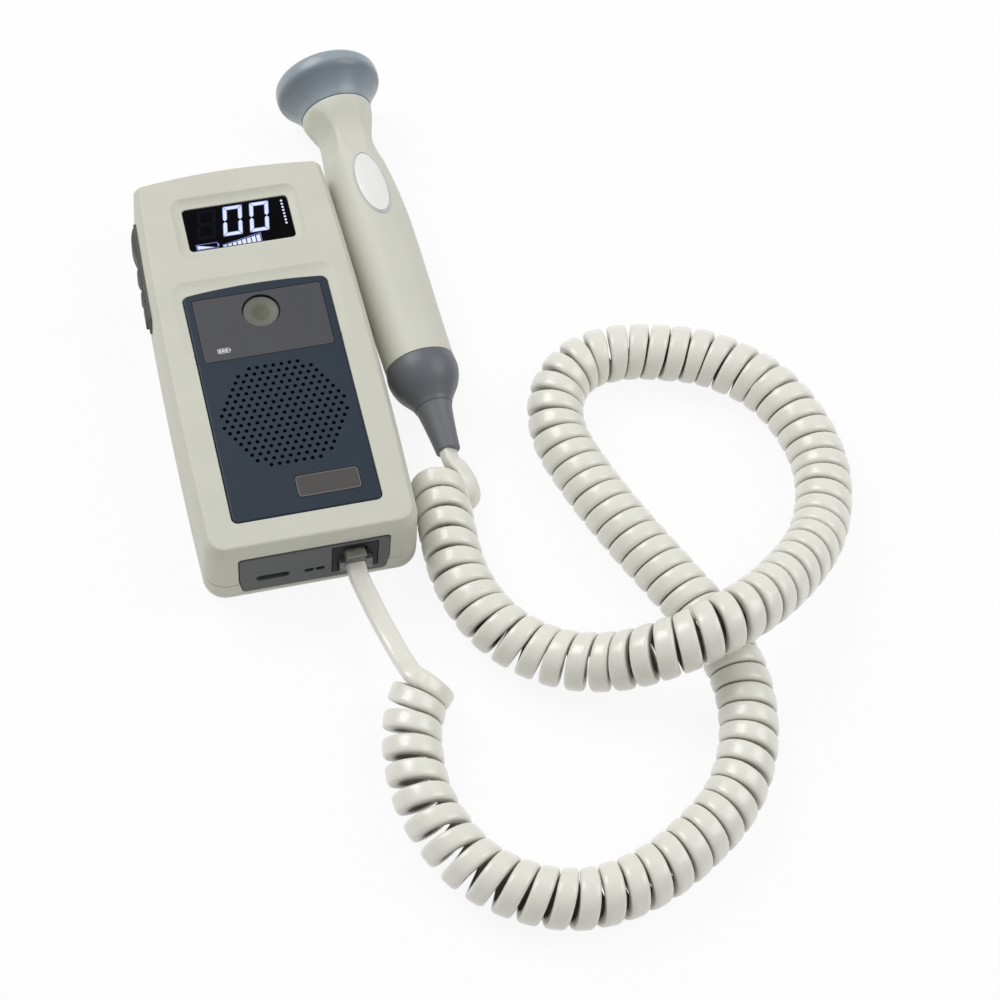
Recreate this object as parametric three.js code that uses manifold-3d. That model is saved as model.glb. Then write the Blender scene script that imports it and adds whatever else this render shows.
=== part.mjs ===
import * as THREE from "three";
import { mergeVertices } from "three/addons/utils/BufferGeometryUtils.js";
import Module from "manifold-3d";

// A fetal doppler monitor in millimetres, +Z up. A hand-held unit lies face up with its lower end at -Y,
// its probe lies beside it, and a curly cord joins the two.
// The sizes below are in the unit's own frame: x is 0 on its middle line and y is 0 on its lower end.

// Driving dimensions of the unit
const body = {
  length: 164,
  halfWidth: 38.8,
  lowerHalfWidth: 38,
  upperHalfWidth: 35.9,
  widestAt: 55,
  depth: 35,
  topBow: 2.6,
  lowerCorner: 8,
  upperCorner: 4.5,
  leastCorner: 1.6,
  faceRound: 3.8,
  draft: 0.5,
  backRound: 7,
  split: 13,
  wall: 2.2,
  faceWall: 3.2,
};

// Clearances, and how far a cutter runs past what it cuts
const gap = 0.3;
const slip = 0.2;
const overrun = 1;

// Travel of the keys and buttons
const press = 0.8;

const wasm = await Module();
wasm.setup();

// Colours as seen in daylight
const looks = {
  ivory: { color: 0xcfcec3, roughness: 0.55, metalness: 0 },
  navy: { color: 0x2f3b4b, roughness: 0.6, metalness: 0 },
  overlay: { color: 0x565152, roughness: 0.5, metalness: 0 },
  olive: { color: 0x74755f, roughness: 0.6, metalness: 0 },
  keyRubber: { color: 0x5c5d57, roughness: 0.75, metalness: 0 },
  endGrey: { color: 0x5b5e62, roughness: 0.6, metalness: 0 },
  black: { color: 0x141416, roughness: 0.4, metalness: 0 },
  screen: { color: 0x08080b, roughness: 0.1, metalness: 0 },
  circuit: { color: 0x1f5a35, roughness: 0.6, metalness: 0 },
  steel: { color: 0xa9abad, roughness: 0.35, metalness: 0.9 },
  gold: { color: 0xc9a24a, roughness: 0.3, metalness: 0.9 },
  paper: { color: 0x2a2725, roughness: 0.9, metalness: 0 },
  clear: { color: 0xdfe6e8, roughness: 0.1, metalness: 0 },
  cord: { color: 0xd2d0c6, roughness: 0.45, metalness: 0 },
  headBlue: { color: 0x7d8791, roughness: 0.5, metalness: 0 },
  bootGrey: { color: 0x5f6266, roughness: 0.6, metalness: 0 },
  ceramic: { color: 0xb9b0a0, roughness: 0.6, metalness: 0 },
  battery: { color: 0x3c557c, roughness: 0.4, metalness: 0 },
  label: { color: 0xf2f2ee, roughness: 0.5, metalness: 0 },
};

const monitor = new THREE.Group();
const unit = new THREE.Group();
monitor.add(unit);

// Adds one named piece to a group, from a geometry or a cut solid
function addPiece(group, name, shape, look) {
  const geometry = shape.isBufferGeometry ? shape : geometryOf(shape);
  const mesh = new THREE.Mesh(geometry, new THREE.MeshStandardMaterial(looks[look]));
  mesh.name = name;
  group.add(mesh);
  return mesh;
}

// Turns a closed geometry into a solid that can be cut and joined
function solid(geometry) {
  const bare = geometry.clone();
  bare.deleteAttribute("normal");
  bare.deleteAttribute("uv");
  const welded = mergeVertices(bare);
  const mesh = new wasm.Mesh({
    numProp: 3,
    vertProperties: Float32Array.from(welded.attributes.position.array),
    triVerts: Uint32Array.from(welded.index.array),
  });
  return new wasm.Manifold(mesh);
}

// Turns a cut solid back into a geometry
function geometryOf(shape) {
  const mesh = shape.getMesh();
  const indexed = new THREE.BufferGeometry();
  const places = Float32Array.from(mesh.vertProperties);
  indexed.setAttribute("position", new THREE.BufferAttribute(places, mesh.numProp));
  indexed.setIndex(new THREE.BufferAttribute(Uint32Array.from(mesh.triVerts), 1));
  const flat = indexed.toNonIndexed();
  flat.computeVertexNormals();
  return flat;
}

function join(first, ...others) {
  return others.reduce((joined, other) => joined.add(solid(other)), solid(first));
}

function cut(base, ...cutters) {
  return cutters.reduce((left, cutter) => left.subtract(solid(cutter)), base);
}

// Simple shapes
function block(x, y, z) {
  const box = new THREE.BoxGeometry(x[1] - x[0], y[1] - y[0], z[1] - z[0]);
  return box.translate((x[0] + x[1]) / 2, (y[0] + y[1]) / 2, (z[0] + z[1]) / 2);
}

function drum(radius, place, z, sides) {
  const cylinder = new THREE.CylinderGeometry(radius, radius, z[1] - z[0], sides);
  return cylinder.rotateX(Math.PI / 2).translate(place[0], place[1], (z[0] + z[1]) / 2);
}

// A profile of [radius, height] pairs turned about the Z axis
function turned(profile, sides) {
  const points = profile.map(([radius, height]) => new THREE.Vector2(radius, height));
  return new THREE.LatheGeometry(points, sides).rotateX(Math.PI / 2);
}

function roundedShape(width, height, radius) {
  const x = width / 2 - radius;
  const y = height / 2 - radius;
  const shape = new THREE.Shape();
  shape.absarc(x, -y, radius, -Math.PI / 2, 0);
  shape.absarc(x, y, radius, 0, Math.PI / 2);
  shape.absarc(-x, y, radius, Math.PI / 2, Math.PI);
  shape.absarc(-x, -y, radius, Math.PI, Math.PI * 1.5);
  return shape;
}

function prism(shape, z, steps = 2) {
  const options = { depth: z[1] - z[0], bevelEnabled: false, curveSegments: steps };
  return new THREE.ExtrudeGeometry(shape, options).translate(0, 0, z[0]);
}

// A shape drawn in x and z, pushed along y
function standingPrism(shape, y, steps = 2) {
  return prism(shape, [-y[1], -y[0]], steps).rotateX(Math.PI / 2);
}

// A shape drawn in y and z, pushed along x
function sidePrism(shape, x, steps = 2) {
  return prism(shape, x, steps).rotateX(Math.PI / 2).rotateZ(Math.PI / 2);
}

// A closed body through rings of points, each ring turning left as seen from the next one
function ringBody(rings) {
  const count = rings[0].length;
  const points = rings.flat();
  const middles = [rings[0], rings[rings.length - 1]].map((ring) => {
    const sum = ring.reduce((total, point) => total.add(point), new THREE.Vector3());
    return sum.divideScalar(count);
  });
  const first = points.length;
  const last = first + 1;
  const faces = [];
  for (let i = 0; i < count; i += 1) {
    const next = (i + 1) % count;
    for (let ring = 0; ring < rings.length - 1; ring += 1) {
      const low = ring * count;
      const high = low + count;
      faces.push(low + i, low + next, high + next, low + i, high + next, high + i);
    }
    const top = (rings.length - 1) * count;
    faces.push(first, next, i, last, top + i, top + next);
  }
  const geometry = new THREE.BufferGeometry().setFromPoints([...points, ...middles]);
  geometry.setIndex(faces);
  return geometry;
}

// The unit's half width at a distance from its lower end: a shallow barrel
function halfWidthAt(y) {
  const above = y > body.widestAt;
  const run = above ? body.length - body.widestAt : body.widestAt;
  const narrowing = body.halfWidth - (above ? body.upperHalfWidth : body.lowerHalfWidth);
  return body.halfWidth - narrowing * ((y - body.widestAt) / run) ** 2;
}

// The unit's outline seen from above, drawn in by an inset, with the same count of points at every inset
function planOutline(inset) {
  const cornerSteps = 4;
  const sideSteps = 6;
  const topSteps = 4;
  const lowerRadius = Math.max(body.lowerCorner - inset, body.leastCorner);
  const upperRadius = Math.max(body.upperCorner - inset, body.leastCorner);
  const lowerY = inset + lowerRadius;
  const lowerX = halfWidthAt(lowerY) - inset - lowerRadius;
  const topLine = (x) => body.length - inset - body.topBow * (x / body.upperHalfWidth) ** 2;
  const upperX = body.upperHalfWidth - inset - upperRadius;
  const upperY = topLine(upperX) - upperRadius;
  const right = [];
  const arc = (x, y, radius, start) => {
    for (let step = 0; step <= cornerSteps; step += 1) {
      const angle = start + (Math.PI / 2) * (step / cornerSteps);
      right.push([x + radius * Math.cos(angle), y + radius * Math.sin(angle)]);
    }
  };
  arc(lowerX, lowerY, lowerRadius, -Math.PI / 2);
  for (let step = 1; step < sideSteps; step += 1) {
    const y = lowerY + (upperY - lowerY) * (step / sideSteps);
    right.push([halfWidthAt(y) - inset, y]);
  }
  arc(upperX, upperY, upperRadius, 0);
  for (let step = 1; step < topSteps / 2; step += 1) {
    const x = upperX * (1 - step / (topSteps / 2));
    right.push([x, topLine(x)]);
  }
  const left = right.map(([x, y]) => [-x, y]).reverse();
  return [...right, [0, topLine(0)], ...left];
}

function loft(levels) {
  const ringAt = ([z, inset]) => planOutline(inset).map(([x, y]) => new THREE.Vector3(x, y, z));
  return ringBody(levels.map(ringAt));
}

// Levels of a rounded edge, from the flat face to the wall, as [height above the flat face, inset] pairs
function roundedEdge(radius, steps) {
  const levels = [];
  for (let step = 0; step <= steps; step += 1) {
    const angle = (Math.PI / 2) * (step / steps);
    levels.push([radius * (1 - Math.cos(angle)), radius * (1 - Math.sin(angle))]);
  }
  return levels;
}

// Heights inside the unit, from the face downwards
const ceiling = body.depth - body.faceWall;
const display = {
  width: 39,
  height: 18.8,
  corner: 1.6,
  fromTop: 26.4,
  dishDepth: 2,
  dishRim: 4.2,
  dishCorner: 5,
};
const displayY = body.length - display.fromTop;
const displayWindow = { flange: 1.6, flangeDepth: 1.2 };
const displayModule = { width: 45, height: 24, depth: 5.8 };
const board = { thickness: 1.6 };
const windowUnder = ceiling - gap - displayWindow.flangeDepth;
const moduleTop = windowUnder - gap;
const displayBoardTop = moduleTop - displayModule.depth - gap;

// Fascia plate, its pocket, and what sits in it
const fascia = { width: 52, height: 94.9, corner: 2.2, placeShare: 0.365, depth: 1.5 };
const fasciaY = body.length * fascia.placeShare;
const fasciaEnds = [fasciaY - fascia.height / 2, fasciaY + fascia.height / 2];
const overlay = { width: 46.8, height: 27, corner: 0.8, fromTop: 1.9, depth: 0.45 };
const overlayY = fasciaEnds[1] - overlay.fromTop - overlay.height / 2;
const badge = { width: 22.3, height: 8.6, corner: 1.3, x: 9.2, fromEnd: 5.5, depth: 0.35 };
const badgeY = fasciaEnds[0] + badge.fromEnd + badge.height / 2;
const grille = { fromEnd: 40.6, pitch: 2.92, reachShare: 7.555, hole: 0.85, holeSides: 3, opening: 23 };
const grilleY = fasciaEnds[0] + grille.fromEnd;
const powerButton = {
  radius: 6.65,
  x: 0.3,
  rise: 5.2,
  sunk: 0.4,
  dish: 1.1,
  flange: 1.3,
  flangeDepth: 1,
  stem: 1.75,
};
const buttonY = overlayY + powerButton.rise;

// Lower end panel and the sockets in it
const endPanel = {
  halfWidth: 26.5,
  fromFace: 6,
  height: 21.5,
  knee: 7.5,
  slant: 1.2,
  corner: 1,
  lip: 0.8,
  lipDepth: 1.1,
};
const panelTop = body.depth - endPanel.fromFace;
const panelBottom = panelTop - endPanel.height;
const lipFront = body.wall + body.draft + gap;
const panelBack = lipFront + endPanel.lipDepth;
const jack = { x: 14.3, width: 16, rise: 3.5, height: 16.4, depth: 17.5 };
const jackZ = [panelBottom + jack.rise, panelBottom + jack.rise + jack.height];
const plug = { width: 11.7, rise: 1.9, height: 6.6, proud: 2, length: 14.5, chamfer: 0.8 };
const plugZ = [jackZ[0] + plug.rise, jackZ[0] + plug.rise + plug.height];
const chargePort = { x: -14.8, rise: 7.7, width: 11.6, height: 3.4, point: 1.7, depth: 7, wall: 0.8 };
const chargeZ = panelBottom + chargePort.rise;
const statusHoles = { x: [-2, 1.9], rise: 7.5, width: 3.4, height: 2.2 };
const boardTop = jackZ[0] - gap;

// Screws and the posts that take them, as places on the right side
const screw = {
  head: 2.9,
  headDepth: 1.8,
  shank: 1.1,
  length: 14,
  recess: 4.5,
  slotWidth: 0.8,
  slotDepth: 0.9,
};
const screwPost = {
  radius: 3.2,
  rearRadius: 4.6,
  bore: 1.4,
  rearTop: 9,
  fromEnds: [14, 11.5],
  x: [31, 28.8],
};
const screwYs = [screwPost.fromEnds[0], body.length - screwPost.fromEnds[1]];

// Side keys along the left wall, measured down from the strip's upper end
const keys = {
  names: ["side_key_upper", "side_key_middle", "side_key_lower"],
  start: [1, 17.9, 28.4],
  length: [15, 7.6, 5.4],
  crown: [2.6, 2.4, 2.3],
  width: 6.6,
  edge: 1.3,
  flange: 0.7,
  flangeDepth: 1,
  wallGap: 0.5,
};
const keyStrip = { length: 43.5, width: 10.4, corner: 1.4, fromTop: 35.3, z: 20.4, proud: 0.9, sunk: 0.7 };
const keyPad = { proud: 2, start: 34.6 };
const keyStripY = body.length - keyStrip.fromTop;
const keyBoard = { length: 36, width: 10.5, contact: 3, contactDepth: 1.2 };

// Stands a group on the left wall: its x points out of the wall and its y down the unit
const keySide = new THREE.Group();
const stripEnds = [keyStripY - keyStrip.length / 2, keyStripY + keyStrip.length / 2];
const wallDraft = (body.draft * (keyStrip.z - body.split)) / (body.depth - body.faceRound - body.split);
const sideLean = Math.atan2(halfWidthAt(stripEnds[0]) - halfWidthAt(stripEnds[1]), keyStrip.length);
const sideX = -(halfWidthAt(stripEnds[0]) + halfWidthAt(stripEnds[1])) / 2 + wallDraft;
keySide.position.set(sideX, keyStripY, keyStrip.z);
keySide.rotation.z = Math.PI - sideLean;
keySide.updateMatrix();
unit.add(keySide);

function onSide(geometry) {
  return geometry.applyMatrix4(keySide.matrix);
}

// A block on the side wall, with its length measured down from the strip's upper end
function sideBlock(x, start, length, width) {
  const top = start - keyStrip.length / 2;
  return block(x, [top, top + length], [-width / 2, width / 2]);
}

// Front cover
function panelShape(grow) {
  const half = endPanel.halfWidth + grow;
  const foot = half - endPanel.slant;
  const { corner } = endPanel;
  const top = panelTop + grow;
  const bottom = panelBottom - grow;
  const right = [
    [foot - corner, bottom],
    [foot, bottom + corner],
    [half, panelBottom + endPanel.knee],
    [half, top - corner],
    [half - corner, top],
  ];
  const left = right.map(([x, z]) => [-x, z]).reverse();
  return new THREE.Shape([...right, ...left].map(([x, z]) => new THREE.Vector2(x, z)));
}

function ringOf(width, height, radius, y, z) {
  const outline = roundedShape(width, height, radius).getPoints(2).slice(0, -1);
  return outline.map((point) => new THREE.Vector3(point.x, point.y + y, z));
}

function displayDish() {
  const floorZ = body.depth - display.dishDepth;
  const rim = 2 * display.dishRim;
  const grow = 2 * slip;
  return ringBody([
    ringOf(display.width + grow, display.height + grow, display.corner + slip, displayY, floorZ),
    ringOf(display.width + rim, display.height + rim, display.dishCorner, displayY, body.depth),
    ringOf(display.width + rim, display.height + rim, display.dishCorner, displayY, body.depth + overrun),
  ]);
}

// A shallow dish that softens the face round the top of the fascia plate
const headDish = { width: 54.5, rise: 4.2, fall: 11.3, depth: 0.9, slope: 3, corner: 4 };

function headDishCutter() {
  const y = fasciaEnds[1] + (headDish.rise - headDish.fall) / 2;
  const height = headDish.rise + headDish.fall;
  const slope = 2 * headDish.slope;
  const floorCorner = headDish.corner - headDish.slope / 2;
  return ringBody([
    ringOf(headDish.width - slope, height - slope, floorCorner, y, body.depth - headDish.depth),
    ringOf(headDish.width, height, headDish.corner, y, body.depth),
    ringOf(headDish.width, height, headDish.corner, y, body.depth + overrun),
  ]);
}

function mirroredPlaces(places) {
  return places.flatMap(([x, y]) => [[x, y], [-x, y]]);
}

const screwPlaces = mirroredPlaces(screwYs.map((y, i) => [screwPost.x[i], y]));
const displayPosts = { radius: 1.6, x: 26, below: [7.1, 19.6] };
const displayPostYs = [buttonY - displayPosts.below[0], displayY - displayPosts.below[1]];

function frontCover() {
  const splitZ = body.split + gap / 2;
  const edge = roundedEdge(body.faceRound, 3).reverse();
  const outer = edge.map(([drop, inset]) => [body.depth - drop, inset + body.draft]);
  const innerShoulder = ceiling - body.wall;
  let shell = solid(loft([[splitZ, 0], ...outer]));
  shell = cut(shell, loft([
    [body.split - overrun, body.wall],
    [innerShoulder, body.wall + body.draft],
    [ceiling, body.wall + body.faceRound / 2],
  ]));
  const bossZ = [screwPost.rearTop + gap, ceiling + overrun];
  const postZ = [displayBoardTop + gap, ceiling + overrun];
  const postPlaces = mirroredPlaces(displayPostYs.map((y) => [displayPosts.x, y]));
  const bosses = screwPlaces.map((place) => drum(screwPost.radius, place, bossZ, 8));
  const posts = postPlaces.map((place) => drum(displayPosts.radius, place, postZ, 6));
  shell = [...bosses, ...posts].reduce((joined, post) => joined.add(solid(post)), shell);
  const boreZ = [screwPost.rearTop - overrun, screw.recess + screw.length];
  const bores = screwPlaces.map((place) => drum(screwPost.bore, place, boreZ, 6));
  const pocketFloor = body.depth - fascia.depth;
  const pocket = roundedShape(fascia.width + 2 * slip, fascia.height + 2 * slip, fascia.corner + slip);
  const window = roundedShape(display.width + 2 * slip, display.height + 2 * slip, display.corner + slip);
  const throughZ = [ceiling - overrun, body.depth + overrun];
  const slotDepth = [-body.wall - keys.flange - gap, overrun];
  const keySlots = keys.start.map((start, i) =>
    onSide(sideBlock(slotDepth, start - gap, keys.length[i] + 2 * gap, keys.width + 2 * gap)));
  const stripPocket = roundedShape(keyStrip.length + 2 * slip, keyStrip.width + 2 * slip, keyStrip.corner);
  return cut(
    shell,
    ...bores,
    displayDish(),
    headDishCutter(),
    prism(window, throughZ).translate(0, displayY, 0),
    prism(pocket, [pocketFloor, body.depth + overrun]).translate(0, fasciaY, 0),
    drum(grille.opening, [0, grilleY], throughZ, 20),
    drum(powerButton.radius + 1.5 * gap, [powerButton.x, buttonY], throughZ, 16),
    standingPrism(panelShape(gap), [-overrun, lipFront]),
    onSide(sidePrism(stripPocket, [-keyStrip.sunk - gap, overrun])),
    ...keySlots,
  );
}

addPiece(unit, "front_cover", frontCover(), "ivory");

// Rear cover, a shallow bowl with posts for the screws and the main board
const mainBoard = { halfWidth: 26.5, fromTop: 19 };
const mainBoardEnd = body.length - mainBoard.fromTop;
const boardPosts = { radius: 2, x: 21, fromEnds: [24, 13] };
const boardPostYs = [boardPosts.fromEnds[0], mainBoardEnd - boardPosts.fromEnds[1]];

function rearCover() {
  const topZ = body.split - gap / 2;
  const under = roundedEdge(body.backRound, 3);
  const innerRound = roundedEdge(body.backRound - body.wall, 2);
  let shell = solid(loft([...under, [topZ, 0]]));
  const hollow = innerRound.map(([rise, inset]) => [body.wall + rise, body.wall + inset]);
  shell = cut(shell, loft([...hollow, [topZ + overrun, body.wall]]));
  const floorIn = body.wall / 2;
  const postZ = [floorIn, screwPost.rearTop];
  const restZ = [floorIn, boardTop - board.thickness - gap];
  const restPlaces = mirroredPlaces(boardPostYs.map((y) => [boardPosts.x, y]));
  const posts = screwPlaces.map((place) => drum(screwPost.rearRadius, place, postZ, 8));
  const rests = restPlaces.map((place) => drum(boardPosts.radius, place, restZ, 6));
  shell = [...posts, ...rests].reduce((joined, post) => joined.add(solid(post)), shell);
  const wellZ = [-overrun, screw.recess];
  const boreZ = [0, screwPost.rearTop + overrun];
  const wells = screwPlaces.map((place) => drum(screw.head + 1.5 * gap, place, wellZ, 8));
  const bores = screwPlaces.map((place) => drum(screwPost.bore, place, boreZ, 6));
  const opening = standingPrism(panelShape(gap), [-overrun, lipFront]);
  return cut(shell, ...wells, ...bores, opening);
}

addPiece(unit, "rear_cover", rearCover(), "ivory");

function rearScrew(place) {
  const top = screw.recess - gap;
  const bottom = top - screw.headDepth;
  const profile = [
    [0, bottom],
    [screw.head, bottom],
    [screw.head, top],
    [screw.shank, top],
    [screw.shank, bottom + screw.length],
    [0, bottom + screw.length],
  ];
  const across = [-screw.head, screw.head];
  const narrow = [-screw.slotWidth / 2, screw.slotWidth / 2];
  const slotZ = [bottom - overrun, bottom + screw.slotDepth];
  const cross = [block(across, narrow, slotZ), block(narrow, across, slotZ)];
  return geometryOf(cut(solid(turned(profile, 10)), ...cross)).translate(place[0], place[1], 0);
}

screwPlaces.forEach((place, i) => addPiece(unit, `rear_screw_${i + 1}`, rearScrew(place), "steel"));

// Lower end panel with a lip behind the covers
function slotShape(width, height, point) {
  const half = width / 2;
  const rise = height / 2;
  const corners = [
    [half, 0],
    [half - point, rise],
    [-half + point, rise],
    [-half, 0],
    [-half + point, -rise],
    [half - point, -rise],
  ];
  return new THREE.Shape(corners.map(([x, z]) => new THREE.Vector2(x, z)));
}

function lowerPanel() {
  const lip = standingPrism(panelShape(endPanel.lip), [lipFront, panelBack]);
  const plate = standingPrism(panelShape(0), [0, panelBack]);
  const through = [-overrun, panelBack + overrun];
  const jackHole = block(
    [jack.x - jack.width / 2 - gap, jack.x + jack.width / 2 + gap],
    through,
    [jackZ[0] - gap, jackZ[1] + gap],
  );
  const slot = slotShape(chargePort.width, chargePort.height, chargePort.point);
  const slotHole = standingPrism(slot, through).translate(chargePort.x, 0, chargeZ);
  const oval = slotShape(statusHoles.width, statusHoles.height, statusHoles.height / 2);
  const ovalZ = panelBottom + statusHoles.rise;
  const ovals = statusHoles.x.map((x) => standingPrism(oval, through).translate(x, 0, ovalZ));
  return cut(join(plate, lip), jackHole, slotHole, ...ovals);
}

addPiece(unit, "end_panel", lowerPanel(), "endGrey");

// Fascia plate with its speaker grille in rows staggered by half a pitch
function grilleHoles() {
  const rowPitch = (grille.pitch * Math.sqrt(3)) / 2;
  const reach = grille.reachShare * grille.pitch;
  const rows = Math.floor(reach / rowPitch);
  const thickness = [body.depth - fascia.depth - overrun, body.depth + overrun];
  const holes = [];
  for (let row = -rows; row <= rows; row += 1) {
    const y = row * rowPitch;
    const shift = row % 2 === 0 ? 0 : grille.pitch / 2;
    const columns = Math.ceil(reach / grille.pitch) + 1;
    for (let column = -columns; column <= columns; column += 1) {
      const x = column * grille.pitch + shift;
      if (Math.hypot(x, y) <= reach) {
        holes.push(drum(grille.hole, [x, y + grilleY], thickness, grille.holeSides));
      }
    }
  }
  return holes;
}

function fasciaPlate() {
  const underside = body.depth - fascia.depth;
  const plate = prism(roundedShape(fascia.width, fascia.height, fascia.corner), [underside, body.depth]);
  const overlayWell = roundedShape(overlay.width + 2 * slip, overlay.height + 2 * slip, overlay.corner);
  const badgeWell = roundedShape(badge.width + 2 * slip, badge.height + 2 * slip, badge.corner);
  const above = body.depth + overrun;
  return cut(
    solid(plate.translate(0, fasciaY, 0)),
    prism(overlayWell, [body.depth - overlay.depth, above]).translate(0, overlayY, 0),
    prism(badgeWell, [body.depth - badge.depth, above]).translate(badge.x, badgeY, 0),
    drum(powerButton.radius + gap, [powerButton.x, buttonY], [underside - overrun, above], 16),
    ...grilleHoles(),
  );
}

addPiece(unit, "fascia_plate", fasciaPlate(), "navy");

function controlOverlay() {
  const z = [body.depth - overlay.depth, body.depth];
  const sheet = prism(roundedShape(overlay.width, overlay.height, overlay.corner), z);
  const holeZ = [z[0] - overrun, z[1] + overrun];
  const hole = drum(powerButton.radius + gap, [powerButton.x, buttonY], holeZ, 16);
  return cut(solid(sheet.translate(0, overlayY, 0)), hole);
}

addPiece(unit, "control_overlay", controlOverlay(), "overlay");

const badgeShape = roundedShape(badge.width, badge.height, badge.corner);
const badgeSlab = prism(badgeShape, [body.depth - badge.depth, body.depth]).translate(badge.x, badgeY, 0);
addPiece(unit, "badge_plate", badgeSlab, "overlay");

// Round power button with a dished top, a flange under the cover and a stem over its switch
const buttonBody = new THREE.Group();
unit.add(buttonBody);
const buttonTop = body.depth - powerButton.sunk;
const buttonUnder = ceiling - gap - powerButton.flangeDepth - overrun / 2;

function roundButton() {
  const { radius, dish, flange, flangeDepth } = powerButton;
  const flangeTop = ceiling - gap;
  const profile = [
    [0, buttonUnder],
    [powerButton.stem, buttonUnder],
    [powerButton.stem, flangeTop - flangeDepth],
    [radius + flange, flangeTop - flangeDepth],
    [radius + flange, flangeTop],
    [radius, flangeTop],
    [radius, buttonTop - dish / 4],
    [radius * 0.92, buttonTop],
    [radius * 0.75, buttonTop - dish * 0.45],
    [radius * 0.45, buttonTop - dish * 0.85],
    [0, buttonTop - dish],
  ];
  return turned(profile, 18).translate(powerButton.x, buttonY, 0);
}

addPiece(buttonBody, "power_button", roundButton(), "olive");

// Display: window, module, and the board that carries it with the power switch
function windowPane() {
  const paneTop = body.depth - display.dishDepth;
  const flangeSize = 2 * displayWindow.flange;
  const pane = prism(roundedShape(display.width, display.height, display.corner), [windowUnder, paneTop]);
  const flangeShape = roundedShape(display.width + flangeSize, display.height + flangeSize, display.corner);
  const flange = prism(flangeShape, [windowUnder, windowUnder + displayWindow.flangeDepth]);
  return join(pane.translate(0, displayY, 0), flange.translate(0, displayY, 0));
}

addPiece(unit, "display_window", windowPane(), "screen");

const moduleHalf = [displayModule.width / 2, displayModule.height / 2];
const moduleBlock = block(
  [-moduleHalf[0], moduleHalf[0]],
  [displayY - moduleHalf[1], displayY + moduleHalf[1]],
  [moduleTop - displayModule.depth, moduleTop],
);
addPiece(unit, "display_module", moduleBlock, "black");

const displayBoard = { sideRoom: 9.5, below: 13.1, fromTop: 14 };
const displayBoardHalf = halfWidthAt(keyStripY) - displayBoard.sideRoom;
const displayBoardSlab = block(
  [-displayBoardHalf, displayBoardHalf],
  [buttonY - displayBoard.below, body.length - displayBoard.fromTop - screwPost.radius],
  [displayBoardTop - board.thickness, displayBoardTop],
);
addPiece(unit, "display_board", displayBoardSlab, "circuit");

const powerSwitch = { half: 3, plunger: 1.7 };

function tactSwitch() {
  const place = [powerButton.x, buttonY];
  const plungerTop = buttonUnder - press - gap;
  const caseTop = (displayBoardTop + plungerTop) / 2;
  const base = block(
    [place[0] - powerSwitch.half, place[0] + powerSwitch.half],
    [place[1] - powerSwitch.half, place[1] + powerSwitch.half],
    [displayBoardTop, caseTop],
  );
  return join(base, drum(powerSwitch.plunger, place, [caseTop - overrun, plungerTop], 10));
}

addPiece(unit, "power_switch", tactSwitch(), "black");

// Speaker behind the grille
const speaker = {
  radius: 24.4,
  rim: 2.6,
  flange: 1.4,
  throat: 14,
  depth: 7.5,
  sheet: 0.9,
  coneThroat: 7,
  cap: 3,
};
const magnet = { radius: 13, depth: 6 };
const speakerTop = ceiling - gap;

function speakerFrame() {
  const floor = speakerTop - speaker.depth;
  const inner = speaker.radius - speaker.rim;
  const profile = [
    [speaker.cap, floor],
    [speaker.throat, floor],
    [inner, speakerTop - speaker.flange],
    [speaker.radius, speakerTop - speaker.flange],
    [speaker.radius, speakerTop],
    [inner, speakerTop],
    [speaker.throat - speaker.sheet, floor + speaker.sheet],
    [speaker.cap, floor + speaker.sheet],
    [speaker.cap, floor],
  ];
  return turned(profile, 16).translate(0, grilleY, 0);
}

function speakerCone() {
  const rim = speaker.radius - speaker.rim - speaker.sheet;
  const low = speakerTop - speaker.depth + 2 * speaker.sheet;
  const profile = [
    [0, low],
    [speaker.coneThroat, low],
    [rim, speakerTop - gap],
    [rim - speaker.sheet, speakerTop - gap],
    [speaker.coneThroat - speaker.sheet, low + speaker.sheet],
    [speaker.cap, low + 2 * speaker.sheet],
    [0, low + 3 * speaker.sheet],
  ];
  return turned(profile, 16).translate(0, grilleY, 0);
}

addPiece(unit, "speaker_frame", speakerFrame(), "steel");
addPiece(unit, "speaker_cone", speakerCone(), "paper");
const magnetTop = speakerTop - speaker.depth;
const magnetZ = [magnetTop - magnet.depth, magnetTop];
addPiece(unit, "speaker_magnet", drum(magnet.radius, [0, grilleY], magnetZ, 16), "steel");

// Main board and battery in the lower half
const boardSlab = block(
  [-mainBoard.halfWidth, mainBoard.halfWidth],
  [panelBack + gap, mainBoardEnd],
  [boardTop - board.thickness, boardTop],
);
addPiece(unit, "main_board", boardSlab, "circuit");

const battery = { halfWidth: 17, y: [46, 104], round: 2 };
const batteryTop = boardTop - board.thickness - gap;
const batteryHeight = batteryTop - body.wall - gap;
const batteryShape = roundedShape(2 * battery.halfWidth, batteryHeight, battery.round);
const batteryMiddle = batteryTop - batteryHeight / 2;
const batteryPack = standingPrism(batteryShape, battery.y).translate(0, 0, batteryMiddle);
addPiece(unit, "battery_pack", batteryPack, "battery");

// Modular jack with a keyed mouth, and its spring contacts
const jackMouth = {
  side: 0.35,
  floor: 1,
  roof: 0.4,
  backWall: 2.5,
  keyWidth: 8.2,
  keyRise: 5.4,
  catchY: 2.4,
};
const contacts = { count: 8, pitch: 1.02, width: 0.45, height: 0.5, start: 3, bar: 1.2, lift: 0.15 };

// The latch's root stands just over the plug's nose, and its thumb end rises out of the jack
const latch = { width: 7, sheet: 1.1, rootLength: 1.5, tipRise: 4.4, tipProud: 2.8, rootRise: 0.2 };
const latchRoot = { y: plug.length - plug.proud - 2 * latch.rootLength, z: plugZ[1] + gap };
const latchTip = { y: -latch.tipProud, z: plugZ[1] + latch.tipRise - latch.sheet };

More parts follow.
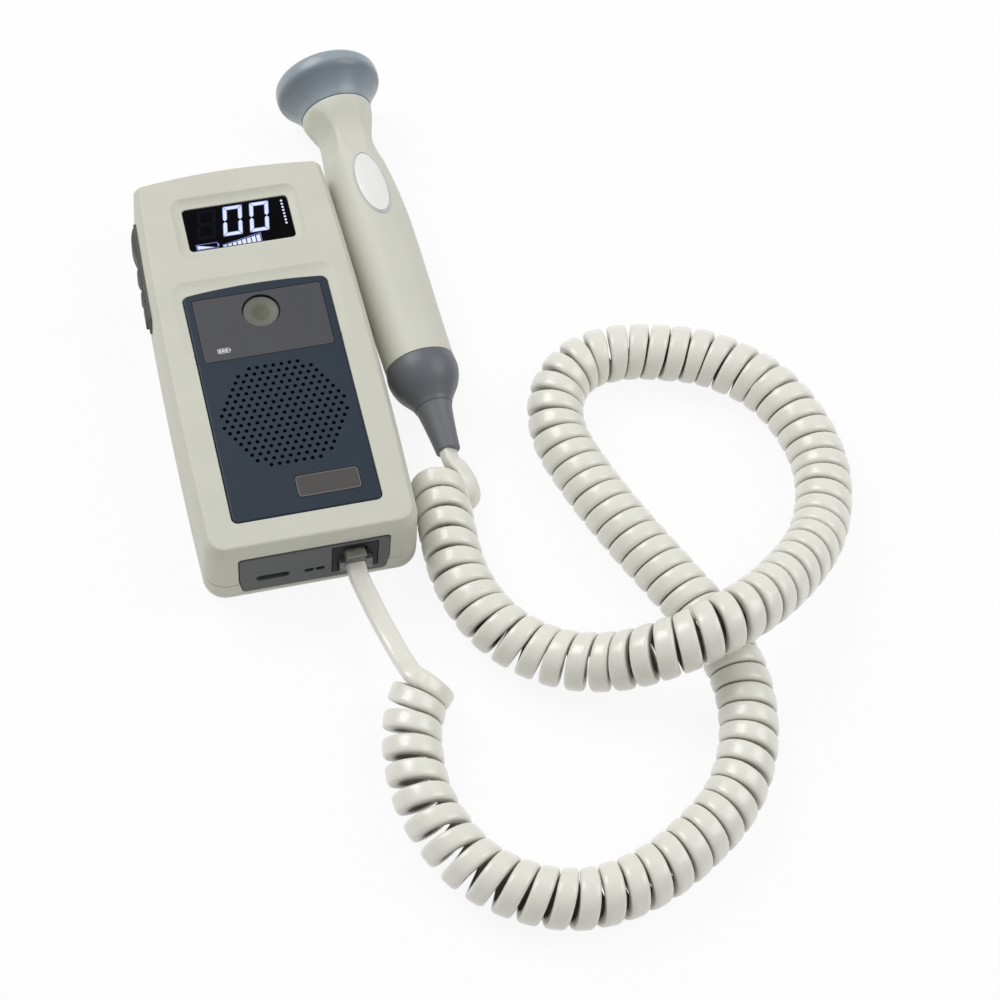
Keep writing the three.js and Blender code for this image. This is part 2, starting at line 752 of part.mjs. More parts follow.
function latchTopAt(y) {
  const share = (latchRoot.y - y) / (latchRoot.y - latchTip.y);
  const low = latchRoot.z + latch.rootRise;
  return latch.sheet + low + (latchTip.z - low) * share;
}

function jackHousing() {
  const half = plug.width / 2 + jackMouth.side;
  const depth = [-overrun, jack.depth - jackMouth.backWall];
  const mouthTop = plugZ[1] + jackMouth.roof;
  const mouth = block([jack.x - half, jack.x + half], depth, [jackZ[0] + jackMouth.floor, mouthTop]);
  const keyHalf = jackMouth.keyWidth / 2;
  const keyway = [jack.x - keyHalf, jack.x + keyHalf];
  const entryZ = [mouthTop - overrun, plugZ[1] + jackMouth.keyRise];
  const entry = block(keyway, [-overrun, jackMouth.catchY], entryZ);
  const groove = block(keyway, depth, [mouthTop - overrun, latchTopAt(jackMouth.catchY) + gap]);
  const shell = block([jack.x - jack.width / 2, jack.x + jack.width / 2], [0, jack.depth], jackZ);
  return cut(solid(shell), mouth, entry, groove);
}

addPiece(unit, "jack_housing", jackHousing(), "black");

// A row of blades joined by a bar, used in the jack and in the plug
function contactComb(y, barY, z) {
  const half = ((contacts.count - 1) * contacts.pitch + contacts.width) / 2;
  const bar = block([jack.x - half, jack.x + half], barY, z);
  const blades = [];
  for (let i = 0; i < contacts.count; i += 1) {
    const x = jack.x - half + i * contacts.pitch;
    blades.push(block([x, x + contacts.width], y, z));
  }
  return join(bar, ...blades);
}

const springZ = jackZ[0] + jackMouth.floor + contacts.lift;
const springEnd = jack.depth - jackMouth.backWall - gap;
const springComb = contactComb(
  [contacts.start, springEnd],
  [springEnd - contacts.bar, springEnd],
  [springZ, springZ + contacts.height],
);
addPiece(unit, "jack_contacts", springComb, "gold");

// Charging socket behind the pointed slot
function chargeSocket() {
  const grow = 2 * chargePort.wall;
  const front = panelBack + gap;
  const half = (chargePort.width + grow) / 2;
  const top = chargeZ + chargePort.height / 2 + chargePort.wall;
  const back = front + chargePort.depth;
  const shell = block([chargePort.x - half, chargePort.x + half], [front, back], [boardTop, top]);
  const slot = slotShape(chargePort.width, chargePort.height, chargePort.point);
  const mouth = standingPrism(slot, [front - overrun, back - chargePort.wall]);
  const tongueHalf = chargePort.width / 3;
  const tongueRise = chargePort.height / 6;
  const tongue = block(
    [chargePort.x - tongueHalf, chargePort.x + tongueHalf],
    [front + chargePort.wall, back - chargePort.wall / 2],
    [chargeZ - tongueRise, chargeZ + tongueRise],
  );
  return cut(solid(shell), mouth.translate(chargePort.x, 0, chargeZ)).add(solid(tongue));
}

addPiece(unit, "charge_port", chargeSocket(), "black");

// Key strip on the left wall, its keys, and the board behind them
function stripPiece() {
  const shape = roundedShape(keyStrip.length, keyStrip.width, keyStrip.corner);
  const strip = sidePrism(shape, [-keyStrip.sunk, keyStrip.proud]);
  const padLength = keyStrip.length - keyPad.start - keyStrip.corner;
  const pad = sideBlock([0, keyPad.proud], keyPad.start, padLength, keys.width);
  const through = [-keyStrip.sunk - overrun, keyStrip.proud + overrun];
  const holes = keys.start.map((start, i) =>
    sideBlock(through, start - gap, keys.length[i] + 2 * gap, keys.width + 2 * gap));
  return cut(join(strip, pad), ...holes);
}

addPiece(keySide, "side_key_strip", stripPiece(), "keyRubber");

// A key's outline seen along z: a crowned cap on a straight stem
function keyPiece(i) {
  const length = keys.length[i];
  const crown = keys.crown[i];
  const stemEnd = -body.wall - keys.wallGap - keys.flangeDepth;
  const shape = new THREE.Shape();
  shape.moveTo(stemEnd, 0);
  shape.lineTo(stemEnd, length);
  shape.lineTo(keys.edge, length);
  shape.quadraticCurveTo(2 * crown - keys.edge, length / 2, keys.edge, 0);
  shape.closePath();
  const cap = prism(shape, [-keys.width / 2, keys.width / 2], 6);
  const rim = block(
    [stemEnd, stemEnd + keys.flangeDepth],
    [-keys.flange, length + keys.flange],
    [-keys.width / 2 - keys.flange, keys.width / 2 + keys.flange],
  );
  return geometryOf(join(cap, rim)).translate(0, keys.start[i] - keyStrip.length / 2, 0);
}

keys.names.forEach((name, i) => {
  const keyBody = new THREE.Group();
  keySide.add(keyBody);
  addPiece(keyBody, name, keyPiece(i), "keyRubber");
});

function keyBoardPiece() {
  const contactTop = -body.wall - keys.wallGap - keys.flangeDepth - press - gap;
  const face = contactTop - keyBoard.contactDepth;
  const half = keyBoard.length / 2;
  const across = [-keyBoard.width / 2, keyBoard.width / 2];
  const slab = block([face - board.thickness, face], [-half, half], across);
  const pads = keys.start.map((start, i) => {
    const middle = start + (keys.length[i] - keyBoard.contact) / 2;
    return sideBlock([face - board.thickness / 2, contactTop], middle, keyBoard.contact, keyBoard.contact);
  });
  return join(slab, ...pads);
}

addPiece(keySide, "key_board", keyBoardPiece(), "circuit");

// Plug with its contacts and its flexing latch
const lead = new THREE.Group();
unit.add(lead);
const plugFront = -plug.proud;
const plugNose = plugFront + plug.length;
const bladeEnd = plugNose - 2 * plug.chamfer;
const bladeY = [bladeEnd - 2 * contacts.bar, bladeEnd];

function plugBody() {
  const half = plug.width / 2;
  const side = new THREE.Shape();
  side.moveTo(plugFront, plugZ[0]);
  side.lineTo(plugNose - plug.chamfer, plugZ[0]);
  side.lineTo(plugNose, plugZ[0] + plug.chamfer);
  side.lineTo(plugNose, plugZ[1]);
  side.lineTo(plugFront, plugZ[1]);
  side.closePath();
  const shell = sidePrism(side, [jack.x - half, jack.x + half]);
  const combHalf = (contacts.count * contacts.pitch) / 2;
  const well = block(
    [jack.x - combHalf, jack.x + combHalf],
    [bladeY[0] - slip, bladeY[1] + slip],
    [plugZ[0] - overrun, plugZ[0] + contacts.height + slip],
  );
  return cut(solid(shell), well);
}

addPiece(lead, "plug_body", plugBody(), "clear");

const bladeZ = [plugZ[0], plugZ[0] + contacts.height];
const bladeBar = [bladeY[0], bladeY[0] + contacts.bar / 2];
addPiece(lead, "plug_contacts", contactComb(bladeY, bladeBar, bladeZ), "gold");

function plugLatch() {
  const rootEnd = latchRoot.y + latch.rootLength;
  const side = new THREE.Shape();
  side.moveTo(rootEnd, latchRoot.z);
  side.lineTo(rootEnd, latchRoot.z + latch.sheet);
  side.lineTo(latchRoot.y, latchTopAt(latchRoot.y));
  side.lineTo(latchTip.y, latchTopAt(latchTip.y));
  side.lineTo(latchTip.y, latchTip.z);
  side.lineTo(latchRoot.y, latchRoot.z);
  side.closePath();
  return sidePrism(side, [jack.x - latch.width / 2, jack.x + latch.width / 2]);
}

const latchBody = new THREE.Group();
lead.add(latchBody);
addPiece(latchBody, "plug_latch", plugLatch(), "clear");

// Probe, drawn about its own axis: its heights grow from the head towards the cord
const probe = {
  headRadius: 20.2,
  headAt: -14.5,
  headEnd: -18.8,
  seamAt: -2,
  neckRadius: 13.6,
  waistRadius: 10.5,
  waistAt: 13,
  barrelRadius: 13.95,
  barrelAt: 55,
  seamRadius: 13,
  bulgeRadius: 13.3,
  bulgeAt: 117,
  bootAt: 113,
  reliefAt: 131,
  tipAt: 149.6,
  wall: 2.2,
  heading: 3.5,
  tipY: 39.6,
  sideGap: 0.4,
};
const probeSides = 24;

// The probe rests on the rim of its head and on the bulge of its boot
const probeGroup = new THREE.Group();
const tilt = Math.asin((probe.headRadius - probe.bulgeRadius) / (probe.bulgeAt - probe.headAt));
const heading = THREE.MathUtils.degToRad(probe.heading);
const axisDirection = new THREE.Vector3(
  Math.sin(heading) * Math.cos(tilt),
  -Math.cos(heading) * Math.cos(tilt),
  -Math.sin(tilt),
);
const fromBarrel = probe.tipAt - probe.barrelAt;
const barrelY = probe.tipY - axisDirection.y * fromBarrel;
const barrelMiddle = new THREE.Vector3(
  halfWidthAt(barrelY) + probe.sideGap + probe.barrelRadius,
  barrelY,
  probe.bulgeRadius * Math.cos(tilt) + (probe.bulgeAt - probe.barrelAt) * Math.sin(tilt),
);
probeGroup.position.copy(barrelMiddle).addScaledVector(axisDirection, -probe.barrelAt);
const localUp = new THREE.Vector3(0, 0, 1).addScaledVector(axisDirection, -axisDirection.z).normalize();
const localSide = new THREE.Vector3().crossVectors(localUp, axisDirection);
const probeAxes = new THREE.Matrix4().makeBasis(localSide, localUp, axisDirection);
probeGroup.quaternion.setFromRotationMatrix(probeAxes);
probeGroup.updateMatrix();
unit.add(probeGroup);

const flute = { count: 6, depth: 1, start: 0, end: 27 };
const waistBore = {
  radius: probe.waistRadius - probe.wall - flute.depth / 2,
  end: probe.waistAt + flute.end / 4,
  sides: 16,
};

// Barrel radius along its axis, with shallow flutes round the neck
function barrelRadiusAt(height, angle) {
  const { seamAt, neckRadius, waistRadius, waistAt, barrelRadius, barrelAt, seamRadius, bootAt } = probe;
  const blend = (from, to, share) => from + (to - from) * (0.5 - 0.5 * Math.cos(Math.PI * share));
  let radius = blend(barrelRadius, seamRadius, (height - barrelAt) / (bootAt - barrelAt));
  if (height < waistAt) {
    radius = blend(neckRadius, waistRadius, Math.max(height - seamAt, 0) / (waistAt - seamAt));
  } else if (height < barrelAt) {
    radius = blend(waistRadius, barrelRadius, ((height - waistAt) / (barrelAt - waistAt)) ** 0.72);
  }
  const along = (height - flute.start) / (flute.end - flute.start);
  const fade = along > 0 && along < 1 ? Math.sin(Math.PI * along) : 0;
  const round = (0.5 + 0.5 * Math.cos(flute.count * angle)) ** 2;
  return radius - flute.depth * fade * round;
}

function barrelRings(lift) {
  const start = probe.seamAt + gap / 2;
  const end = probe.bootAt - gap / 2;
  const heightShares = [0, 0.04, 0.08, 0.12, 0.165, 0.22, 0.29, 0.38, 0.5, 0.75, 1];
  return heightShares.map((share) => {
    const height = start + (end - start) * share;
    return Array.from({ length: probeSides }, (_, i) => {
      const angle = (2 * Math.PI * i) / probeSides;
      const radius = barrelRadiusAt(height, angle) + lift;
      return new THREE.Vector3(radius * Math.cos(angle), radius * Math.sin(angle), height);
    });
  });
}

function barrelPiece() {
  const start = probe.seamAt + gap / 2;
  const end = probe.bootAt - gap / 2;
  const boreRadius = (height) => barrelRadiusAt(height, Math.PI / flute.count) - probe.wall;
  const bore = [
    [0, start - overrun],
    [boreRadius(start) - flute.depth, start - overrun],
    [waistBore.radius, probe.waistAt / 2],
    [waistBore.radius, waistBore.end],
    [boreRadius(probe.barrelAt), probe.barrelAt],
    [boreRadius(end), end + overrun],
    [0, end + overrun],
  ];
  return cut(solid(ringBody(barrelRings(0))), turned(bore, waistBore.sides));
}

addPiece(probeGroup, "probe_barrel", barrelPiece(), "ivory");

const headBore = { neck: 10.6, chamber: 15.6, chamberAt: -9.5, seat: 17.6, seatAt: -16.4 };

function headPiece() {
  const r = probe.headRadius;
  const profile = [
    [headBore.neck, probe.seamAt - gap / 2],
    [headBore.neck, headBore.chamberAt + overrun],
    [headBore.chamber, headBore.chamberAt],
    [headBore.chamber, headBore.seatAt],
    [headBore.seat, headBore.seatAt],
    [headBore.seat, probe.headEnd],
    [r * 0.93, probe.headEnd],
    [r * 0.985, probe.headEnd * 0.92],
    [r, probe.headAt],
    [r * 0.9, probe.headAt * 0.68],
    [r * 0.76, probe.headAt * 0.36],
    [probe.neckRadius, probe.seamAt - gap / 2],
    [headBore.neck, probe.seamAt - gap / 2],
  ];
  return turned(profile, probeSides);
}

addPiece(probeGroup, "probe_head", headPiece(), "headBlue");

const face = { dome: 1.6, edge: 2 };

function facePiece() {
  const radius = headBore.seat - slip;
  const back = headBore.seatAt - gap;
  const profile = [
    [0, back - face.edge - face.dome],
    [radius * 0.55, back - face.edge - face.dome * 0.75],
    [radius, back - face.edge],
    [radius, back],
    [0, back],
  ];
  return turned(profile, probeSides);
}

addPiece(probeGroup, "probe_face", facePiece(), "headBlue");

// Two half-round crystals, one sending and one listening, on a damping disc
const crystal = { radius: 12, split: 1, depth: 1.4, damper: 15, damperDepth: 4 };

function halfDisc(turn, z) {
  const shape = new THREE.Shape();
  shape.absarc(0, crystal.split / 2, crystal.radius, 0, Math.PI);
  shape.closePath();
  return prism(shape, z, 8).rotateZ(turn);
}

const crystalZ = [headBore.seatAt, headBore.seatAt + crystal.depth];
addPiece(probeGroup, "crystal_transmit", halfDisc(0, crystalZ), "ceramic");
addPiece(probeGroup, "crystal_receive", halfDisc(Math.PI, crystalZ), "ceramic");
const damperZ = [crystalZ[1] + gap, crystalZ[1] + gap + crystal.damperDepth];
addPiece(probeGroup, "backing_disc", drum(crystal.damper, [0, 0], damperZ, 18), "black");

// Small board inside the barrel, its front corners seated in the waist of the bore
const probeBoard = { start: waistBore.end, end: 100 };
const probeBoardHalf = waistBore.radius * Math.cos(Math.PI / waistBore.sides) - gap;
const probeBoardSlab = block(
  [-probeBoardHalf, probeBoardHalf],
  [-board.thickness / 2, board.thickness / 2],
  [probeBoard.start, probeBoard.end],
);
addPiece(probeGroup, "probe_board", probeBoardSlab, "circuit");

// Boot with a spigot in the barrel's end, and the flexible strain relief
const boot = { shoulder: 11.7, shoulderAt: 124, neck: 7.2, spigotDepth: 5, bore: 3.6 };
const relief = { base: 6.8, middle: 5.7, tip: 4.5, spigot: 3.1, spigotDepth: 6, bendAt: 138 };

function bootPiece() {
  const spigot = barrelRadiusAt(probe.bootAt, 0) - probe.wall - gap;
  const front = probe.bootAt + gap / 2;
  const profile = [
    [boot.bore, front - boot.spigotDepth],
    [spigot, front - boot.spigotDepth],
    [spigot, front],
    [probe.seamRadius, front],
    [probe.bulgeRadius, probe.bulgeAt],
    [boot.shoulder, boot.shoulderAt],
    [boot.neck * 1.35, (boot.shoulderAt + 2 * probe.reliefAt) / 3],
    [boot.neck, probe.reliefAt - gap / 2],
    [boot.bore, probe.reliefAt - gap / 2],
    [boot.bore, front - boot.spigotDepth],
  ];
  return turned(profile, probeSides);
}

addPiece(probeGroup, "probe_boot", bootPiece(), "bootGrey");

function reliefPiece() {
  const front = probe.reliefAt + gap / 2;
  const profile = [
    [0, front - relief.spigotDepth],
    [relief.spigot, front - relief.spigotDepth],
    [relief.spigot, front],
    [relief.base, front],
    [relief.middle, relief.bendAt],
    [relief.tip, probe.tipAt],
    [0, probe.tipAt],
  ];
  return turned(profile, 16);
}

addPiece(probeGroup, "strain_relief", reliefPiece(), "bootGrey");

// Oval label, a thin patch that follows the barrel's skin
const label = { length: 30.5, width: 12, at: 38.5, turn: 81, sheet: 0.35 };

function labelPiece() {
  const oval = new THREE.Shape();
  oval.absellipse(0, 0, label.width / 2, label.length / 2, 0, 2 * Math.PI);
  const reach = probe.barrelRadius + overrun;
  const column = prism(oval, [0, reach], 5);
  column.rotateX(Math.PI / 2).rotateZ(THREE.MathUtils.degToRad(label.turn) + Math.PI / 2);
  const skin = cut(solid(ringBody(barrelRings(slip + label.sheet))), ringBody(barrelRings(slip)));
  return skin.intersect(solid(column.translate(0, 0, label.at)));
}

addPiece(probeGroup, "probe_label", labelPiece(), "label");

// Curly cord. Each point of its route gives x and y of the coil's middle line, its lift off the ground,
// the curls wound so far, and how far the tops of the curls lean ahead.
const cord = { width: 7, thickness: 4.4, coilRadius: 10.4, curlGap: 0.5 };
const wireRadius = cord.coilRadius - cord.thickness / 2;
const curlSteps = 8;
const curlSides = 5;
const lastCurl = 94.5;
const route = [
  [29.6, -49, 0, 0, 4],
  [23.8, -56.6, 0, 1, 2],
  [18.9, -71.2, 0, 2.7, 0.4],
  [18.7, -93.2, 0, 5.1, 0],
  [27.6, -115.8, 0, 7.7, 0],
  [43, -130, 0, 10.2, 0],
  [62, -137, 0, 12.8, 0],
  [83, -135, 0, 15.5, 0],
  [103, -126, 0, 18.3, 0],
  [121, -112, 0, 21.3, 0],
  [132.5, -92, 0, 24.2, 0],
  [136, -69, 0, 27.3, 0],
  [131.5, -47, 0, 30.4, 0],
  [122.5, -26, 0, 33.6, 0],
  [113, -5, 0, 36.9, 0],
  [104.5, 17, 0, 40.3, 0],
  [99, 39, 0, 43.6, 0],
  [102.5, 56, 0, 46, 0],
  [114, 67, 0, 48.1, 0],
  [130, 69.5, 0, 50.2, 0],
  [147, 66, 0, 52.5, 0],
  [163, 59.5, 0, 54.8, 0],
  [179, 45, 0, 57.6, 0],
  [187.5, 25, 0, 60.4, 0],
  [188.5, 2.5, 0, 63.6, 0],
  [178, -22, 3.5, 67.2, 0],
  [156, -43.5, 14, 71.2, 0],
  [132.5, -57, 21.5, 74.8, 0],
  [110.5, -61, 17, 78, 0],
  [91.5, -57, 6.5, 80.9, 0],
  [73, -47.5, 0.5, 83.6, 0],
  [57.5, -32, 0, 86.4, 0],
  [50, -10.5, 0, 89.6, 0.6],
  [50, 14.6, 0, 93, 3.6],
  [50.5, 26, 1, 94.5, 4.4],
];

// A smooth curve through the route's points, in all five of their values
function routeAt(place) {
  const last = route.length - 1;
  const i = Math.min(Math.max(Math.floor(place), 0), last - 1);
  const t = place - i;
  const near = route[i];
  const far = route[i + 1];
  const before = i > 0 ? route[i - 1] : near.map((value, k) => 2 * value - far[k]);
  const after = i + 2 <= last ? route[i + 2] : far.map((value, k) => 2 * value - near[k]);
  return near.map((value, k) => {
    const slope = (far[k] - before[k]) / 2;
    const nextSlope = (after[k] - value) / 2;
    const rise = far[k] - value;
    const bend = 3 * rise - 2 * slope - nextSlope;
    return value + t * (slope + t * (bend + t * (slope + nextSlope - 2 * rise)));
  });
}

// The place on the route where a count of curls is reached
function placeOfCurl(curls) {
  let low = 0;
  let high = route.length - 1;
  for (let i = 0; i < 40; i += 1) {
    const middle = (low + high) / 2;
    if (routeAt(middle)[3] < curls) {
      low = middle;
    } else {
      high = middle;
    }
  }
  return low;
}

// The wound cord's middle line at a count of curls, with the direction that points out of the coil
function curlAt(curls) {
  const place = placeOfCurl(curls);
  const small = 1e-3;
  const spot = (at) => {
    const [x, y, lift] = routeAt(at);
    return new THREE.Vector3(x, y, lift + cord.coilRadius);
  };
  const ahead = spot(place + small).sub(spot(place - small)).normalize();
  const side = new THREE.Vector3().crossVectors(ahead, new THREE.Vector3(0, 0, 1)).normalize();
  const up = new THREE.Vector3().crossVectors(side, ahead);
  const angle = 2 * Math.PI * (curls + 0.25);
  const outward = side.multiplyScalar(Math.cos(angle)).addScaledVector(up, Math.sin(angle));
  const point = spot(place).addScaledVector(outward, wireRadius);
  return { point: point.addScaledVector(ahead, routeAt(place)[4] * Math.sin(angle)), outward };
}

// One ring of the cord's flat section
function sectionRing(point, outward, along, width, sides = curlSides) {
  const out = outward.clone().addScaledVector(along, -outward.dot(along)).normalize();
  const across = new THREE.Vector3().crossVectors(out, along);
  return Array.from({ length: sides }, (_, i) => {
    const angle = (2 * Math.PI * (i + 0.75)) / sides;
    const ring = point.clone().addScaledVector(across, (width / 2) * Math.cos(angle));
    return ring.addScaledVector(out, (cord.thickness / 2) * Math.sin(angle));
  });
}

const curlCount = Math.round(lastCurl * curlSteps);
const curlLine = [];
for (let i = 0; i <= curlCount; i += 1) {
  curlLine.push(curlAt(i / curlSteps));
}

function curlDirection(i) {
  const small = 1e-3;
  const from = curlAt(Math.max(i / curlSteps - small, 0)).point;
  const to = curlAt(Math.min(i / curlSteps + small, lastCurl)).point;
  return to.sub(from).normalize();
}

// The section is pressed narrower where the curls on both sides crowd it
function curlWidth(i) {
  const { point, outward } = curlLine[i];
  const across = new THREE.Vector3().crossVectors(outward, curlDirection(i)).normalize();
  const neighbours = [i - curlSteps, i + curlSteps].filter((k) => k >= 0 && k <= curlCount);
  const rooms = neighbours.map((k) => Math.abs(curlLine[k].point.clone().sub(point).dot(across)));
  return Math.min(cord.width, Math.min(...rooms) - cord.curlGap);
}

// The cord runs straight out of both ends of the coil
const coilEnds = [[0, -cord.thickness], [curlCount, cord.thickness]].map(([i, run]) => {
  const direction = curlDirection(i);
  return { direction, run, point: curlLine[i].point.clone().addScaledVector(direction, run) };
});

function curlRings() {
  const rings = curlLine.map(({ point, outward }, i) =>
    sectionRing(point, outward, curlDirection(i), curlWidth(i)));
  const [startRing, endRing] = [0, curlCount].map((i, end) =>
    sectionRing(coilEnds[end].point, curlLine[i].outward, coilEnds[end].direction, curlWidth(i)));
  return [startRing, ...rings, endRing];
}

const coilRings = curlRings();

// Least distance between the outer points of curls that lie beside or over each other
function leastCurlGap(rings) {
  const edgeShares = [0, 0.25, 0.5, 0.75];
  const onEdge = (from, to) => edgeShares.map((share) => from.clone().lerp(to, share));
  const samples = rings.slice(0, -1).map((ring, r) =>
    ring.flatMap((point, i) => onEdge(point, rings[r + 1][i])));
  let least = Infinity;
  for (let a = 0; a < samples.length; a += 1) {
    for (let b = a + curlSteps - 2; b < samples.length; b += 1) {
      const apart = rings[a][0].distanceTo(rings[b][0]) - 2 * cord.coilRadius;
      if (apart < least) {
        for (const point of samples[a]) {
          for (const other of samples[b]) {
            least = Math.min(least, point.distanceTo(other));
          }
        }
      }
    }
  }
  return least;
}

console.log(`least gap between curls: ${leastCurlGap(coilRings).toFixed(2)} mm`);
addPiece(lead, "cord_coil", ringBody(coilRings), "cord");

// Straight stretches from the plug and from the strain relief to the two ends of the curly cord
const tipFace = new THREE.Vector3(0, 0, probe.tipAt).applyMatrix4(probeGroup.matrix);
const plugFace = new THREE.Vector3(jack.x, plugFront, (plugZ[0] + plugZ[1]) / 2 - gap);
const plugRun = [
  [16, -14, 14.6],
  [18.3, -23.5, 13.3],
  [20.6, -33, 13.4],
  [22.4, -42, 15.8],
];
const probeRun = [
  [59.8, 32, 10.6],
  [61.9, 26.2, 8.4],
  [61.4, 22.2, 5],
];

// The flat cord swept along a smooth curve through points, lying as flat as the ground lets it
function sweep(points) {
  const sides = 8;
  const stations = 13;
  const up = new THREE.Vector3(0, 0, 1);
  const curve = new THREE.CatmullRomCurve3(points, false, "centripetal");
  const shares = Array.from({ length: stations + 1 }, (_, i) => i / stations);
  return ringBody(shares.map((share) =>
    sectionRing(curve.getPointAt(share), up, curve.getTangentAt(share), cord.width, sides)));
}

// Points that run straight out of a face, then through the free points, then straight into the coil's end
function stretchPoints(face, faceDirection, freePoints, coilEnd) {
  const stubShares = [0, 0.5, 1];
  const run = Math.abs(coilEnd.run);
  const inward = Math.sign(coilEnd.run);
  const out = stubShares.map((share) => face.clone().addScaledVector(faceDirection, gap + run * share));
  const into = stubShares.map((share) =>
    coilEnd.point.clone().addScaledVector(coilEnd.direction, inward * (gap + run * share)));
  return [...out, ...freePoints.map((point) => new THREE.Vector3(...point)), ...into.reverse()];
}

const plugStretch = stretchPoints(plugFace, new THREE.Vector3(0, -1, 0), plugRun, coilEnds[0]);
const probeStretch = stretchPoints(tipFace, axisDirection, probeRun, coilEnds[1]);
addPiece(lead, "cord_plug_stretch", sweep(plugStretch), "cord");
addPiece(lead, "cord_probe_stretch", sweep(probeStretch), "cord");

// The part's frame has its origin under the middle of the unit and its probe, without the free cord
const standing = new THREE.Box3();
unit.traverse((node) => {
  let owner = node;
  while (owner && owner !== lead) {
    owner = owner.parent;
  }
  if (node.isMesh && !owner) {
    node.updateWorldMatrix(true, false);
    standing.expandByObject(node, true);
  }
});
const middle = standing.getCenter(new THREE.Vector3());
unit.position.set(-middle.x, -middle.y, 0);

export default monitor;
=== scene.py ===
import math

import bmesh
import bpy
from mathutils import Matrix, Vector


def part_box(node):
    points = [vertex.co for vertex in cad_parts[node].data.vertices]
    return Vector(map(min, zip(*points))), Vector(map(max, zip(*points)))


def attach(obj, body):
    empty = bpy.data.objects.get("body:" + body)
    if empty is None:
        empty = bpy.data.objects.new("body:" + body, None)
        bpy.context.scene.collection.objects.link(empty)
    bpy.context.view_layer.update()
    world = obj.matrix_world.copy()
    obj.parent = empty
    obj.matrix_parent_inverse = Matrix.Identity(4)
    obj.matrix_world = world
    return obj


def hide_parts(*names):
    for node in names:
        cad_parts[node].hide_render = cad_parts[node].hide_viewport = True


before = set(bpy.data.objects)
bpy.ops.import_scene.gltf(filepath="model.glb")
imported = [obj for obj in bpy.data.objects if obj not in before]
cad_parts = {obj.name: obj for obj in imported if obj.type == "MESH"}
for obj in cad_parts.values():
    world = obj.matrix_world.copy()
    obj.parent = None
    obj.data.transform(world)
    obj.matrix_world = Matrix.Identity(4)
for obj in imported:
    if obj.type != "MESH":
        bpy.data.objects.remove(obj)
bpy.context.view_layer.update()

# Sizes in the dictionaries are in millimetres, in the unit's own frame: x is 0 on its middle line, y is 0
# on its lower end and z is 0 on the table. toObject brings what is modelled there into the object's frame.
# Heights that differ by less than a hair count as level, and points less than a weld apart are merged.
mm = 0.001
hair = 1e-3
weld = 1e-4
coverLow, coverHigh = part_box("front_cover")
unitCorner = Vector(((coverLow.x + coverHigh.x) / 2, coverLow.y, 0))
toObject = Matrix.Translation(unitCorner) @ Matrix.Scale(mm, 4)

scene = bpy.context.scene
scene.view_settings.view_transform = "Standard"


# Camera
shot = {
    "azimuth": -20.6228,
    "elevation": 59.3576,
    "roll": 7.9509,
    "lens": 97.2,
    "sensor": 36,
    "target": (65.9747, 3.1544, 35),
    "distance": 937.736,
    "clip": (0.05, 20),  # in metres
}


def makeCamera():
    turn = math.radians(shot["azimuth"])
    rise = math.radians(shot["elevation"])
    roll = math.radians(shot["roll"])
    back = Vector((math.sin(turn) * math.cos(rise), -math.cos(turn) * math.cos(rise), math.sin(rise)))
    level = Vector((math.cos(turn), math.sin(turn), 0))
    upright = back.cross(level)
    right = level * math.cos(roll) + upright * math.sin(roll)
    up = upright * math.cos(roll) - level * math.sin(roll)
    spot = toObject @ (Vector(shot["target"]) + back * shot["distance"])
    data = bpy.data.cameras.new("camera")
    data.lens = shot["lens"]
    data.sensor_width = shot["sensor"]
    data.clip_start, data.clip_end = shot["clip"]
    camera = bpy.data.objects.new("camera", data)
    axes = Matrix((right, up, back)).transposed().to_4x4()
    camera.matrix_world = Matrix.Translation(spot) @ axes
    scene.collection.objects.link(camera)
    scene.camera = camera


makeCamera()
print("camera set")


# Shader maths: a Wire is one output socket, and a Paint is one material with its nodes
class Wire:
    def __init__(self, paint, socket):
        self.paint = paint
        self.socket = socket

    def maths(self, operation, first, second):
        return self.paint.node("ShaderNodeMath", {"operation": operation}, {0: first, 1: second})

    def __add__(self, other):
        return self.maths("ADD", self, other)

    def __sub__(self, other):
        return self.maths("SUBTRACT", self, other)

    def __rsub__(self, other):
        return self.maths("SUBTRACT", other, self)

    def __mul__(self, other):
        return self.maths("MULTIPLY", self, other)

    def __gt__(self, other):
        return self.maths("GREATER_THAN", self, other)

    def __lt__(self, other):
        return self.maths("LESS_THAN", self, other)

    __radd__ = __add__
    __rmul__ = __mul__


